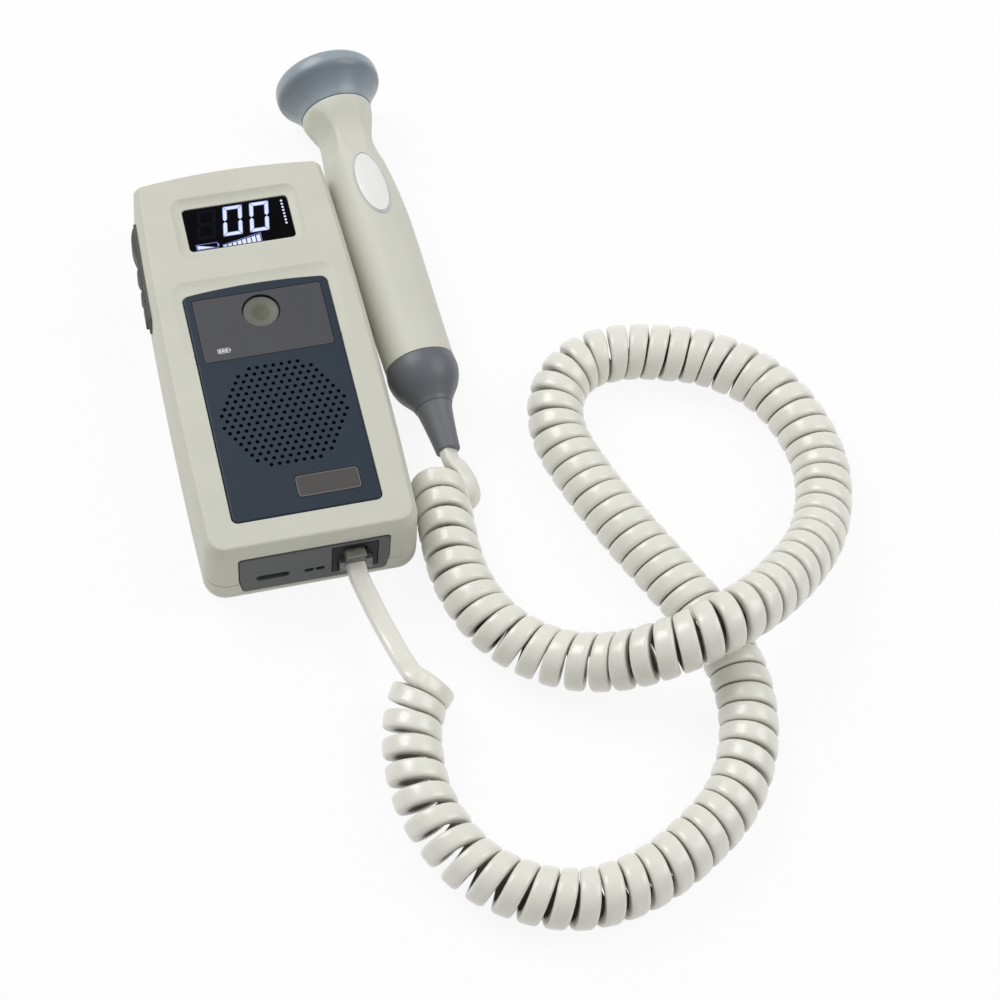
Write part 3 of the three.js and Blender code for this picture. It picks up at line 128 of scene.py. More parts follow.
class Paint:
    def __init__(self, name, constants):
        self.material = bpy.data.materials.new(name)
        self.material.use_nodes = True
        self.tree = self.material.node_tree
        self.shader = self.tree.nodes["Principled BSDF"]
        for socket, value in constants.items():
            self.shader.inputs[socket].default_value = value

    def node(self, kind, settings=None, values=None, out=0):
        made = self.tree.nodes.new(kind)
        for key, value in (settings or {}).items():
            if key == "stops":
                elements = made.color_ramp.elements
                while len(elements) < len(value):
                    elements.new(1)
                for element, (place, color) in zip(elements, value):
                    element.position = place
                    element.color = color
            else:
                setattr(made, key, value)
        for key, value in (values or {}).items():
            self.feed(made.inputs[key], value)
        return Wire(self, made.outputs[out])

    def feed(self, socket, value):
        if isinstance(value, Wire):
            self.tree.links.new(value.socket, socket)
        else:
            socket.default_value = value

    def set(self, socket, value):
        self.feed(self.shader.inputs[socket], value)

    def place(self, out="Object"):
        return self.node("ShaderNodeTexCoord", out=out)

    def stretched(self, scale, source="Object"):
        return self.node("ShaderNodeMapping", {}, {"Vector": self.place(source), "Scale": scale})

    def noise(self, scale, detail=2, where=None):
        values = {"Vector": where or self.place(), "Scale": scale, "Detail": detail}
        return self.node("ShaderNodeTexNoise", {}, values, "Fac")

    def cells(self, scale, out="Distance"):
        return self.node("ShaderNodeTexVoronoi", {}, {"Vector": self.place(), "Scale": scale}, out)

    def mixed(self, share, first, second):
        return self.node("ShaderNodeMix", {"data_type": "RGBA"}, {0: share, 6: first, 7: second}, 2)

    def ramp(self, value, low, high):
        ends = {"Value": value, "From Min": low, "From Max": high}
        return self.node("ShaderNodeMapRange", {"clamp": True}, ends)

    def measured(self, operation, first, second=None):
        values = {0: first} if second is None else {0: first, 1: second}
        out = "Value" if operation in ("LENGTH", "DOT_PRODUCT") else "Vector"
        return self.node("ShaderNodeVectorMath", {"operation": operation}, values, out)

    def relief(self, height, strength, depth):
        values = {"Height": height, "Strength": strength, "Distance": reliefDepth[depth] * mm}
        self.set("Normal", self.node("ShaderNodeBump", {}, values))


def tint(color, share):
    return (*(channel * share for channel in color), 1)


# How deep the relief of each kind of surface is, in millimetres
reliefDepth = {
    "film": 0.01,
    "drawn": 0.02,
    "moulded": 0.03,
    "tracks": 0.04,
    "flow": 0.05,
    "paper": 0.08,
    "felt": 0.1,
    "creases": 0.2,
}


# Moulded plastic and rubber: a colour that clouds slightly, under a fine spark-eroded grain
def moulded(name, color, roughness, grain=1400, depth="moulded", cloud=0.035, gloss=0.5):
    paint = Paint(name, {"IOR": 1.5, "Specular IOR Level": gloss})
    drift = paint.noise(45, 4)
    speck = paint.noise(grain, 3)
    share = drift * 0.75 + speck * 0.25
    paint.set("Base Color", paint.mixed(share, tint(color, 1 - 2 * cloud), tint(color, 1 + 2 * cloud)))
    paint.set("Roughness", roughness + (speck - 0.5) * 0.16 + (drift - 0.5) * 0.1)
    paint.relief(speck, 0.35, depth)
    return paint.material


ivory = moulded("ivory", (0.61, 0.612, 0.53), 0.48, gloss=0.45)
barrelIvory = moulded("barrelIvory", (0.635, 0.637, 0.561), 0.48, gloss=0.45)
navy = moulded("navy", (0.016, 0.028, 0.047), 0.45, grain=2200, cloud=0.05, gloss=0.35)
endGrey = moulded("endGrey", (0.098, 0.104, 0.104), 0.5, cloud=0.04, gloss=0.3)
keyRubber = moulded("keyRubber", (0.105, 0.104, 0.094), 0.62, grain=2600, cloud=0.06)
bootGrey = moulded("bootGrey", (0.127, 0.138, 0.153), 0.42, grain=1800, cloud=0.04)
bootRubber = moulded("bootRubber", (0.148, 0.156, 0.172), 0.46, grain=2000, cloud=0.05)
faceBlue = moulded("faceBlue", (0.330, 0.365, 0.395), 0.3, grain=900, cloud=0.03)
black = moulded("black", (0.010, 0.010, 0.011), 0.5, grain=2000, cloud=0.1, gloss=0.15)
felt = moulded("felt", (0.006, 0.006, 0.007), 0.9, grain=2600, depth="felt", cloud=0.2, gloss=0.1)
film = {"grain": 3200, "depth": "film"}
overlayFilm = moulded("overlayFilm", (0.068, 0.069, 0.077), 0.38, cloud=0.05, gloss=0.4, **film)
badgeFilm = moulded("badgeFilm", (0.078, 0.073, 0.070), 0.34, cloud=0.05, gloss=0.4, **film)
rimGrey = moulded("rimGrey", (0.17, 0.165, 0.155), 0.4, **film)
printWhite = moulded("printWhite", (0.62, 0.62, 0.62), 0.4, grain=3600, depth="film")

buttonDisc = {"start": 2.9, "end": 3.9}


# Olive button with a darker disc in its dished middle
def buttonPlastic():
    low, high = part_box("power_button")
    middle = (low + high) / 2
    paint = Paint("olive", {"IOR": 1.5})
    spot = paint.measured("SUBTRACT", paint.place(), (middle.x, middle.y, high.z))
    reach = paint.measured("LENGTH", paint.measured("MULTIPLY", spot, (1, 1, 0)))
    disc = paint.ramp(reach, buttonDisc["start"] * mm, buttonDisc["end"] * mm)
    speck = paint.noise(1800, 3)
    inner = paint.mixed(speck, (0.100, 0.104, 0.070, 1), (0.112, 0.116, 0.080, 1))
    outer = paint.mixed(speck, (0.134, 0.138, 0.108, 1), (0.150, 0.153, 0.122, 1))
    paint.set("Base Color", paint.mixed(disc, inner, outer))
    paint.set("Roughness", 0.5 + (speck - 0.5) * 0.2)
    paint.relief(speck, 0.3, "moulded")
    return paint.material


olive = buttonPlastic()


# Jacket of the cord: glossy soft plastic with faint drawing lines along it, which follow its own UV map. The
# side that lies inside the coil has painted shade: it is painted darker and duller in place of the shade
# there.
def cordJacket():
    paint = Paint("cordJacket", {"IOR": 1.5, "Coat Weight": 0.35, "Coat Roughness": 0.14})
    drift = paint.noise(35, 3)
    lines = paint.noise(1, 3, paint.stretched((0.8, 60, 1), source="UV"))
    speck = paint.noise(900, 2)
    around = paint.node("ShaderNodeSeparateXYZ", {}, {0: paint.place("UV")}, 1) * (2 * math.pi)
    outer = paint.ramp(paint.node("ShaderNodeMath", {"operation": "SINE"}, {0: around}), -0.5, 0.4)
    unshadedJacket = paint.mixed(drift, (0.785, 0.775, 0.700, 1), (0.835, 0.827, 0.755, 1))
    # painted shade: the inner side of the section takes a dark brown in place of the jacket's own colour
    paint.set("Base Color", paint.mixed(outer, (0.33, 0.305, 0.262, 1), unshadedJacket))
    paint.set("Roughness", 0.29 + (lines - 0.5) * 0.06 + (speck - 0.5) * 0.06 + (1 - outer) * 0.2)
    paint.relief(lines + speck * 0.8, 0.1, "moulded")
    return paint.material


jacket = cordJacket()


# Dark glass over the display
def darkGlass():
    paint = Paint("darkGlass", {"IOR": 1.38, "Specular IOR Level": 0.12})
    smear = paint.noise(60, 4)
    paint.set("Base Color", paint.mixed(smear, (0.0012, 0.0012, 0.0020, 1), (0.0024, 0.0024, 0.0038, 1)))
    paint.set("Roughness", 0.05 + smear * 0.08)
    return paint.material


# Lit parts of the display, slightly uneven as a backlight is
def litGlass(name, color):
    paint = Paint(name, {"Roughness": 0.2, "Specular IOR Level": 0.15, "Emission Strength": 1.0})
    glow = paint.noise(320, 2)
    paint.set("Base Color", tint(color, 0.1))
    paint.set("Emission Color", paint.mixed(glow, tint(color, 0.82), tint(color, 1.1)))
    return paint.material


screenGlass = darkGlass()
litWhite = litGlass("litWhite", (0.72, 0.80, 1.0))
litEdge = litGlass("litEdge", (0.20, 0.26, 0.62))
litGhost = litGlass("litGhost", (0.0012, 0.0016, 0.006))


# Clear moulded plastic of the plug, and a paler, less clear copy of it for the latch, whose painted
# highlight stands in for the light that falls on it
def clearPlastic(name, share, dull, bright):
    paint = Paint(name, {"IOR": 1.5, "Transmission Weight": share})
    flow = paint.noise(400, 3)
    paint.set("Base Color", paint.mixed(flow, dull, bright))
    paint.set("Roughness", 0.06 + flow * 0.1)
    paint.relief(flow, 0.15, "flow")
    return paint.material


# Plated steel with the fine lines of rolling, and bright gold contacts
def platedSteel():
    paint = Paint("platedSteel", {"Metallic": 1.0})
    lines = paint.noise(1, 4, paint.stretched((300, 9000, 9000)))
    bloom = paint.noise(260, 4)
    paint.set("Base Color", paint.mixed(bloom, (0.42, 0.42, 0.41, 1), (0.60, 0.61, 0.62, 1)))
    paint.set("Roughness", 0.26 + lines * 0.22)
    paint.relief(lines, 0.2, "drawn")
    return paint.material


def goldPlate():
    paint = Paint("goldPlate", {"Metallic": 1.0})
    bloom = paint.noise(1500, 3)
    paint.set("Base Color", paint.mixed(bloom, (0.74, 0.46, 0.11, 1), (0.88, 0.60, 0.20, 1)))
    paint.set("Roughness", 0.16 + bloom * 0.16)
    return paint.material


# Circuit board: solder mask over tracks, with bare pads
def circuitBoard():
    paint = Paint("circuitBoard", {"Coat Weight": 0.4, "Coat Roughness": 0.15})
    cell = paint.cells(420, "Color")
    wave = {"Vector": cell, "Scale": 3.0}
    tracks = paint.node("ShaderNodeTexWave", {"bands_direction": "DIAGONAL"}, wave, "Fac")
    lines = paint.ramp(tracks, 0.62, 0.7)
    pads = paint.cells(700) < 0.16
    mask = paint.mixed(lines, (0.006, 0.060, 0.024, 1), (0.014, 0.115, 0.046, 1))
    paint.set("Base Color", paint.mixed(pads, mask, (0.55, 0.50, 0.38, 1)))
    paint.set("Roughness", 0.34 + pads * 0.1 + paint.noise(900) * 0.1)
    paint.relief(lines + pads, 0.3, "tracks")
    return paint.material


# Pressed paper cone of the speaker
def paperCone():
    paint = Paint("paperCone", {"Sheen Weight": 0.2})
    fibre = paint.noise(1, 5, paint.stretched((900, 2600, 900)))
    paint.set("Base Color", paint.mixed(fibre, (0.012, 0.011, 0.010, 1), (0.040, 0.036, 0.031, 1)))
    paint.set("Roughness", 0.78 + fibre * 0.15)
    paint.relief(fibre, 0.5, "paper")
    return paint.material


# Shrink film round the battery
def shrinkFilm():
    paint = Paint("shrinkFilm", {"Coat Weight": 0.5, "Coat Roughness": 0.1})
    creases = paint.noise(1, 4, paint.stretched((60, 340, 60)))
    paint.set("Base Color", paint.mixed(creases, (0.030, 0.070, 0.165, 1), (0.050, 0.110, 0.245, 1)))
    paint.set("Roughness", 0.2 + creases * 0.18)
    paint.relief(creases, 0.5, "creases")
    return paint.material


# Fired ceramic crystals with a silvered film that is rubbed thin in spots
def firedCeramic():
    paint = Paint("firedCeramic", {"IOR": 1.6})
    bloom = paint.noise(500, 4)
    bare = paint.cells(260) < 0.1
    paint.set("Base Color", paint.mixed(bare, (0.52, 0.50, 0.46, 1), (0.40, 0.33, 0.24, 1)))
    paint.set("Metallic", 0.55 * (1 - bare))
    paint.set("Roughness", 0.32 + bloom * 0.25)
    return paint.material


# White film label with a thin printed line inside its edge, placed by the label's own UV map
def labelFilm():
    paint = Paint("labelFilm", {"IOR": 1.48, "Coat Weight": 0.25, "Coat Roughness": 0.12})
    reach = paint.measured("LENGTH", paint.place("UV"))
    line = (reach > 0.935) * (reach < 0.972)
    fibre = paint.noise(1800, 3)
    white = paint.mixed(fibre, (0.80, 0.80, 0.79, 1), (0.87, 0.87, 0.86, 1))
    paint.set("Base Color", paint.mixed(line, white, (0.30, 0.31, 0.33, 1)))
    paint.set("Roughness", 0.3 + fibre * 0.12)
    paint.relief(fibre, 0.15, "drawn")
    return paint.material


clear = clearPlastic("clearPlastic", 0.9, (0.84, 0.86, 0.86, 1), (0.93, 0.94, 0.94, 1))
# painted highlight: the latch's copy of the clear plastic is paler and less clear, in place of the light it
# reflects
latchHighlight = clearPlastic("latchHighlightPlastic", 0.45, (0.30, 0.29, 0.25, 1), (0.66, 0.65, 0.58, 1))
steel = platedSteel()
gold = goldPlate()
circuit = circuitBoard()
paper = paperCone()
battery = shrinkFilm()
ceramic = firedCeramic()
label = labelFilm()
print("materials made")


# Pieces: a shape is modelled in millimetres, set in the object's frame and put on its body
def settle(name, shape, material, body, stands=(), place=toObject, sharp=38, closed=True):
    shape.transform(place)
    if closed:
        bmesh.ops.recalc_face_normals(shape, faces=shape.faces)
    mesh = bpy.data.meshes.new(name)
    shape.to_mesh(mesh)
    shape.free()
    mesh.materials.append(material)
    mesh.shade_smooth()
    mesh.set_sharp_from_angle(angle=math.radians(sharp))
    piece = bpy.data.objects.new(name, mesh)
    scene.collection.objects.link(piece)
    weighted = piece.modifiers.new("evenShading", "WEIGHTED_NORMAL")
    weighted.keep_sharp = True
    weighted.weight = 80
    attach(piece, body)
    if stands:
        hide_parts(*stands)
    return piece


def bevelEdges(shape, edges, width, segments=3):
    bmesh.ops.bevel(
        shape,
        geom=edges,
        offset=width,
        offset_type="OFFSET",
        segments=segments,
        profile=0.5,
        affect="EDGES",
        clamp_overlap=True,
        material=-1,
    )


def edgesWhere(shape, test):
    return [edge for edge in shape.edges if test(edge)]


def middleOf(edge):
    return (edge.verts[0].co + edge.verts[1].co) / 2


# Rounds the edges that lie at the very top of a shape
def roundTop(shape, width, segments):
    top = max(vert.co.z for vert in shape.verts)
    bevelEdges(shape, edgesWhere(shape, lambda edge: middleOf(edge).z > top - hair), width, segments)


# A skin pulled through rings of points, one extrusion for each ring, with both ends closed
def pulledThrough(rings):
    shape = bmesh.new()
    place = shape.verts.layers.int.new("place")
    verts = [shape.verts.new(point) for point in rings[0]]
    for i, vert in enumerate(verts):
        vert[place] = i
    edges = [shape.edges.new((vert, verts[(i + 1) % len(verts)])) for i, vert in enumerate(verts)]
    ends = [edges]
    for ring in rings[1:]:
        grown = bmesh.ops.extrude_edge_only(shape, edges=edges)["geom"]
        for vert in grown:
            if isinstance(vert, bmesh.types.BMVert):
                vert.co = ring[vert[place]]
        edges = [edge for edge in grown if isinstance(edge, bmesh.types.BMEdge)]
    ends.append(edges)
    for end in ends:
        bmesh.ops.contextual_create(shape, geom=end)
    bmesh.ops.recalc_face_normals(shape, faces=shape.faces)
    return shape


# A profile of (radius, height) points spun about the Z axis
def spun(profile, steps=96, loop=False):
    shape = bmesh.new()
    verts = [shape.verts.new((radius, 0, height)) for radius, height in profile]
    pairs = list(zip(verts, verts[1:] + verts[:1] if loop else verts[1:]))
    edges = [shape.edges.new(pair) for pair in pairs]
    bmesh.ops.spin(
        shape,
        geom=verts + edges,
        cent=(0, 0, 0),
        axis=(0, 0, 1),
        angle=2 * math.pi,
        steps=steps,
        use_merge=True,
    )
    bmesh.ops.remove_doubles(shape, verts=shape.verts, dist=weld)
    bmesh.ops.recalc_face_normals(shape, faces=shape.faces)
    return shape


# Points on a smooth line through given ones
def smoothLine(points, steps=6):
    line = []
    last = len(points) - 1
    for i in range(last):
        near, far = Vector(points[i]), Vector(points[i + 1])
        before = Vector(points[i - 1]) if i else near * 2 - far
        after = Vector(points[i + 2]) if i + 2 <= last else far * 2 - near
        for step in range(steps):
            t = step / steps
            slope = (far - before) / 2
            nextSlope = (after - near) / 2
            rise = far - near
            bend = 3 * rise - 2 * slope - nextSlope
            twist = slope + nextSlope - 2 * rise
            line.append(near + (slope + (bend + twist * t) * t) * t)
    line.append(Vector(points[-1]))
    return line


def roundedRing(width, height, corner, x, y, z, steps=8):
    ring = []
    for turn, (sideX, sideY) in enumerate([(1, 1), (-1, 1), (-1, -1), (1, -1)]):
        middleX = x + sideX * (width / 2 - corner)
        middleY = y + sideY * (height / 2 - corner)
        for step in range(steps + 1):
            angle = math.pi / 2 * (turn + step / steps)
            ring.append(Vector((middleX + corner * math.cos(angle), middleY + corner * math.sin(angle), z)))
    return ring


def roundedSlab(width, height, corner, x, y, low, high, steps=8):
    return pulledThrough([roundedRing(width, height, corner, x, y, z, steps) for z in (low, high)])


def block(x, y, z):
    shape = bmesh.new()
    bmesh.ops.create_cube(shape, size=1)
    ends = (x, y, z)
    bmesh.ops.scale(shape, vec=[high - low for low, high in ends], verts=shape.verts)
    bmesh.ops.translate(shape, vec=[(low + high) / 2 for low, high in ends], verts=shape.verts)
    return shape


def drum(radius, x, y, low, high, sides=48):
    shape = bmesh.new()
    middle = Matrix.Translation((x, y, (low + high) / 2))
    bmesh.ops.create_cone(
        shape,
        cap_ends=True,
        segments=sides,
        radius1=radius,
        radius2=radius,
        depth=high - low,
        matrix=middle,
    )
    return shape


def joined(*shapes):
    whole = shapes[0]
    for other in shapes[1:]:
        mesh = bpy.data.meshes.new("other")
        other.to_mesh(mesh)
        other.free()
        whole.from_mesh(mesh)
        bpy.data.meshes.remove(mesh)
    return whole


# Cuts one shape by others, or joins them, with the exact solver
def carved(shape, *cutters, operation="DIFFERENCE"):
    names = ["carved", *(f"cutter{i}" for i in range(len(cutters)))]
    objects = []
    for name, part in zip(names, (shape, *cutters)):
        bmesh.ops.recalc_face_normals(part, faces=part.faces)
        mesh = bpy.data.meshes.new(name)
        part.to_mesh(mesh)
        part.free()
        thing = bpy.data.objects.new(name, mesh)
        scene.collection.objects.link(thing)
        objects.append(thing)
    for cutter in objects[1:]:
        step = objects[0].modifiers.new(cutter.name, "BOOLEAN")
        step.operation = operation
        step.solver = "EXACT"
        step.object = cutter
    bpy.context.view_layer.update()
    seen = objects[0].evaluated_get(bpy.context.evaluated_depsgraph_get())
    result = bmesh.new()
    result.from_mesh(seen.to_mesh())
    seen.to_mesh_clear()
    for thing in objects:
        mesh = thing.data
        bpy.data.objects.remove(thing)
        bpy.data.meshes.remove(mesh)
    bmesh.ops.remove_doubles(result, verts=result.verts, dist=weld)
    return result


# A CAD node's own shape with its loose triangles merged and its sharp edges softened
def softened(node, name, material, body, width, segments=2, limit=32):
    shape = bmesh.new()
    shape.from_mesh(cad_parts[node].data)
    bmesh.ops.remove_doubles(shape, verts=shape.verts, dist=2 * hair * mm)
    bmesh.ops.dissolve_limit(shape, angle_limit=math.radians(1), verts=shape.verts, edges=shape.edges)
    angle = math.radians(limit)
    sharp = edgesWhere(shape, lambda edge: edge.is_manifold and edge.calc_face_angle(0) > angle)
    bevelEdges(shape, sharp, width * mm, segments)
    return settle(name, shape, material, body, (node,), Matrix.Identity(4))


def dress(node, material):
    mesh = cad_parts[node].data
    mesh.materials.clear()
    mesh.materials.append(material)


# Probe's frame in the unit's: it rests on the rim of its head and on the bulge of its boot
probe = {
    "headRadius": 20.2,
    "headAt": -14.5,
    "headEnd": -18.8,
    "seamAt": -2,
    "neckRadius": 13.6,
    "waistRadius": 10.5,
    "waistAt": 13,
    "barrelRadius": 13.95,
    "barrelAt": 55,
    "seamRadius": 13,
    "bulgeRadius": 13.3,
    "bulgeAt": 117,
    "bootAt": 113,
    "reliefAt": 131,
    "tipAt": 149.6,
    "heading": 3.5,
    "tipY": 39.6,
    "sideGap": 0.4,
    "halfSeam": 0.15,
    "wall": 2.2,
}

# Shell of the unit
case = {
    "length": 164,
    "halfWidth": 38.8,
    "lowerHalfWidth": 38,
    "upperHalfWidth": 35.9,
    "widestAt": 55,
    "depth": 35,
    "topBow": 2.6,
    "lowerCorner": 8,
    "upperCorner": 3.4,
    "leastCorner": 1.6,
    "faceRound": 3.8,
    "slopeInset": 2.1,
    "slopeDrop": 4,
    "slopeSoft": 0.8,
    "draft": 0.5,
    "backRound": 7,
    "split": 13,
    "halfSeam": 0.15,
    "wall": 2.2,
    "faceWall": 3.2,
    "slip": 0.2,
    "gap": 0.3,
    "over": 1,
    "frontRim": 0.22,
    "rearRim": 0.2,
    "rimLimit": 42,
}
faceZ = case["depth"]
ceiling = case["depth"] - case["faceWall"]

# A cutter stands over past what it cuts, and slip is the room round a plate in its seat
over = case["over"]
slip = case["slip"]


def halfWidthAt(y):
    above = y > case["widestAt"]
    run = case["length"] - case["widestAt"] if above else case["widestAt"]
    narrowing = case["halfWidth"] - case["upperHalfWidth" if above else "lowerHalfWidth"]
    return case["halfWidth"] - narrowing * ((y - case["widestAt"]) / run) ** 2


def probeFrame():
    tilt = math.asin((probe["headRadius"] - probe["bulgeRadius"]) / (probe["bulgeAt"] - probe["headAt"]))
    heading = math.radians(probe["heading"])
    level = Vector((math.sin(heading), -math.cos(heading), 0))
    along = level * math.cos(tilt) - Vector((0, 0, math.sin(tilt)))
    barrelY = probe["tipY"] - along.y * (probe["tipAt"] - probe["barrelAt"])
    lift = probe["bulgeRadius"] * math.cos(tilt) + (probe["bulgeAt"] - probe["barrelAt"]) * math.sin(tilt)
    middle = Vector((halfWidthAt(barrelY) + probe["sideGap"] + probe["barrelRadius"], barrelY, lift))
    up = (Vector((0, 0, 1)) - along * along.z).normalized()
    side = up.cross(along)
    axes = Matrix((side, up, along)).transposed().to_4x4()
    return Matrix.Translation(middle - along * probe["barrelAt"]) @ axes


probePlace = probeFrame()
toProbe = toObject @ probePlace


# Curly cord. Each point of its route gives x and y of the coil's middle line, its lift off the table, the
# curls wound so far, and how far the tops of the curls lean ahead.
cord = {
    "width": 7,
    "thickness": 4.4,
    "coilRadius": 10.4,
    "curlGap": 0.42,
    "lastCurl": 94.5,
    "curlSteps": 24,
    "sides": 16,
    "squareness": 0.52,
    "firstTurn": 0.25,
    "nudge": 0.001,
    "halvings": 34,
    "lineSteps": 12,
    "stretchSteps": 60,
    "woundFrom": 0.7,
    "grip": 5,
    "tipOut": (0.7, 0, 0.7),
    "uvScale": 0.05,
    # UV spot round the section for the straight stretches, where the painted shade of the coil's inner side
    # is absent
    "uvUnshaded": 0.25,
    "plugFace": (14.3, -1.7, 15.9),
    "plugRun": [(16, -14, 14.6), (18.3, -23.5, 13.3), (20.6, -33, 13.4), (22.4, -42, 15.8)],
    "probeRun": [(59.8, 32, 10.6), (61.9, 26.2, 8.4), (61.4, 22.2, 5)],
    "route": [
        (29.6, -49, 0, 0, 4),
        (23.8, -56.6, 0, 1, 2),
        (18.9, -71.2, 0, 2.7, 0.4),
        (18.7, -93.2, 0, 5.1, 0),
        (27.6, -115.8, 0, 7.7, 0),
        (43, -130, 0, 10.2, 0),
        (62, -137, 0, 12.8, 0),
        (83, -135, 0, 15.5, 0),
        (103, -126, 0, 18.3, 0),
        (121, -112, 0, 21.3, 0),
        (132.5, -92, 0, 24.2, 0),
        (136, -69, 0, 27.3, 0),
        (131.5, -47, 0, 30.4, 0),
        (122.5, -26, 0, 33.6, 0),
        (113, -5, 0, 36.9, 0),
        (104.5, 17, 0, 40.3, 0),
        (99, 39, 0, 43.6, 0),
        (102.5, 56, 0, 46, 0),
        (114, 67, 0, 48.1, 0),
        (130, 69.5, 0, 50.2, 0),
        (147, 66, 0, 52.5, 0),
        (163, 59.5, 0, 54.8, 0),
        (179, 45, 0, 57.6, 0),
        (187.5, 25, 0, 60.4, 0),
        (188.5, 2.5, 0, 63.6, 0),
        (178, -22, 3.5, 67.2, 0),
        (156, -43.5, 14, 71.2, 0),
        (132.5, -57, 21.5, 74.8, 0),
        (110.5, -61, 17, 78, 0),
        (91.5, -57, 6.5, 80.9, 0),
        (73, -47.5, 0.5, 83.6, 0),
        (57.5, -32, 0, 86.4, 0),
        (50, -10.5, 0, 89.6, 0.6),
        (50, 14.6, 0, 93, 3.6),
        (50.5, 26, 1, 94.5, 4.4),
    ],
}
wireRadius = cord["coilRadius"] - cord["thickness"] / 2


# A smooth curve through the route's points, in all five of their values
def routeAt(place):
    route = cord["route"]
    last = len(route) - 1
    i = min(max(math.floor(place), 0), last - 1)
    t = place - i
    near, far = route[i], route[i + 1]
    before = route[i - 1] if i > 0 else [2 * a - b for a, b in zip(near, far)]
    after = route[i + 2] if i + 2 <= last else [2 * b - a for a, b in zip(near, far)]
    values = []
    for a, b, c, d in zip(before, near, far, after):
        slope = (c - a) / 2
        nextSlope = (d - b) / 2
        rise = c - b
        bend = 3 * rise - 2 * slope - nextSlope
        twist = slope + nextSlope - 2 * rise
        values.append(b + t * (slope + t * (bend + t * twist)))
    return values


def placeOfCurl(curls):
    low, high = 0, len(cord["route"]) - 1
    for _ in range(cord["halvings"]):
        middle = (low + high) / 2
        if routeAt(middle)[3] < curls:
            low = middle
        else:
            high = middle
    return low


def coilMiddle(place):
    x, y, lift = routeAt(place)[:3]
    return Vector((x, y, lift + cord["coilRadius"]))


# The wound cord's middle line at a count of curls, with the direction that points out of the coil
def curlAt(curls):
    place = placeOfCurl(curls)
    nudge = cord["nudge"]
    ahead = (coilMiddle(place + nudge) - coilMiddle(place - nudge)).normalized()
    side = ahead.cross(Vector((0, 0, 1))).normalized()
    up = side.cross(ahead)
    angle = 2 * math.pi * (curls + cord["firstTurn"])
    outward = side * math.cos(angle) + up * math.sin(angle)
    lean = routeAt(place)[4] * math.sin(angle)
    return coilMiddle(place) + outward * wireRadius + ahead * lean, outward


# One ring of the cord's flat section, which has softly squared edges
def sectionRing(point, outward, along, width):
    out = (outward - along * outward.dot(along)).normalized()
    across = out.cross(along)
    ring = []
    for i in range(cord["sides"]):
        angle = 2 * math.pi * (i + 0.5) / cord["sides"]
        wide = math.copysign(abs(math.cos(angle)) ** cord["squareness"], math.cos(angle))
        thick = math.copysign(abs(math.sin(angle)) ** cord["squareness"], math.sin(angle))
        ring.append(point + across * (width / 2 * wide) + out * (cord["thickness"] / 2 * thick))
    return ring


# A station of the cord is a point, the way out of the coil, the way along the cord, its width there, and
# how far it is wound, from 0 on the straight stretches to 1 in the coil
def stretchStations(points, outFirst, outLast):
    count = cord["stretchSteps"]
    line = smoothLine(points, cord["lineSteps"])
    spots = [line[round(i * (len(line) - 1) / count)] for i in range(count + 1)]
    stations = []
    for i, spot in enumerate(spots[:-1]):
        along = (spots[i + 1] - spots[max(i - 1, 0)]).normalized()
        wound = max((i / count - cord["woundFrom"]) / (1 - cord["woundFrom"]), 0)
        stations.append((spot, outFirst.lerp(outLast, i / count), along, cord["width"], wound))
    return stations


def coilStations():
    steps = cord["curlSteps"]
    count = round(cord["lastCurl"] * steps)
    line = [curlAt(i / steps) for i in range(count + 1)]
    stations = []
    for i, (point, outward) in enumerate(line):
        along = (line[min(i + 1, count)][0] - line[max(i - 1, 0)][0]).normalized()
        across = outward.cross(along).normalized()
        beside = [k for k in (i - steps, i + steps) if 0 <= k <= count]
        room = min(abs((line[k][0] - point).dot(across)) for k in beside)
        stations.append((point, outward, along, min(cord["width"], room - cord["curlGap"]), 1))
    return stations


# From inside the plug to the coil's first curl
def plugStretch(first):
    point, outward, along = first[:3]
    face = Vector(cord["plugFace"])
    points = [face + Vector((0, cord["grip"], 0)), face - Vector((0, cord["thickness"], 0))]
    points += [Vector(spot) for spot in cord["plugRun"]]
    points += [point - along * cord["thickness"], point]
    return stretchStations(points, Vector((0, 0, 1)), outward)


# From the coil's last curl into the strain relief. It is laid from the relief and then turned round.
def probeStretch(last):
    point, outward, along = last[:3]
    tip = probePlace @ Vector((0, 0, probe["tipAt"]))
    ahead = (probePlace.to_3x3() @ Vector((0, 0, 1))).normalized()
    points = [tip - ahead * cord["grip"], tip + ahead * cord["thickness"]]
    points += [Vector(spot) for spot in cord["probeRun"]]
    points += [point + along * cord["thickness"], point]
    stations = stretchStations(points, Vector(cord["tipOut"]), -outward)
    return [(spot, -out, -way, wide, wound) for spot, out, way, wide, wound in reversed(stations)]


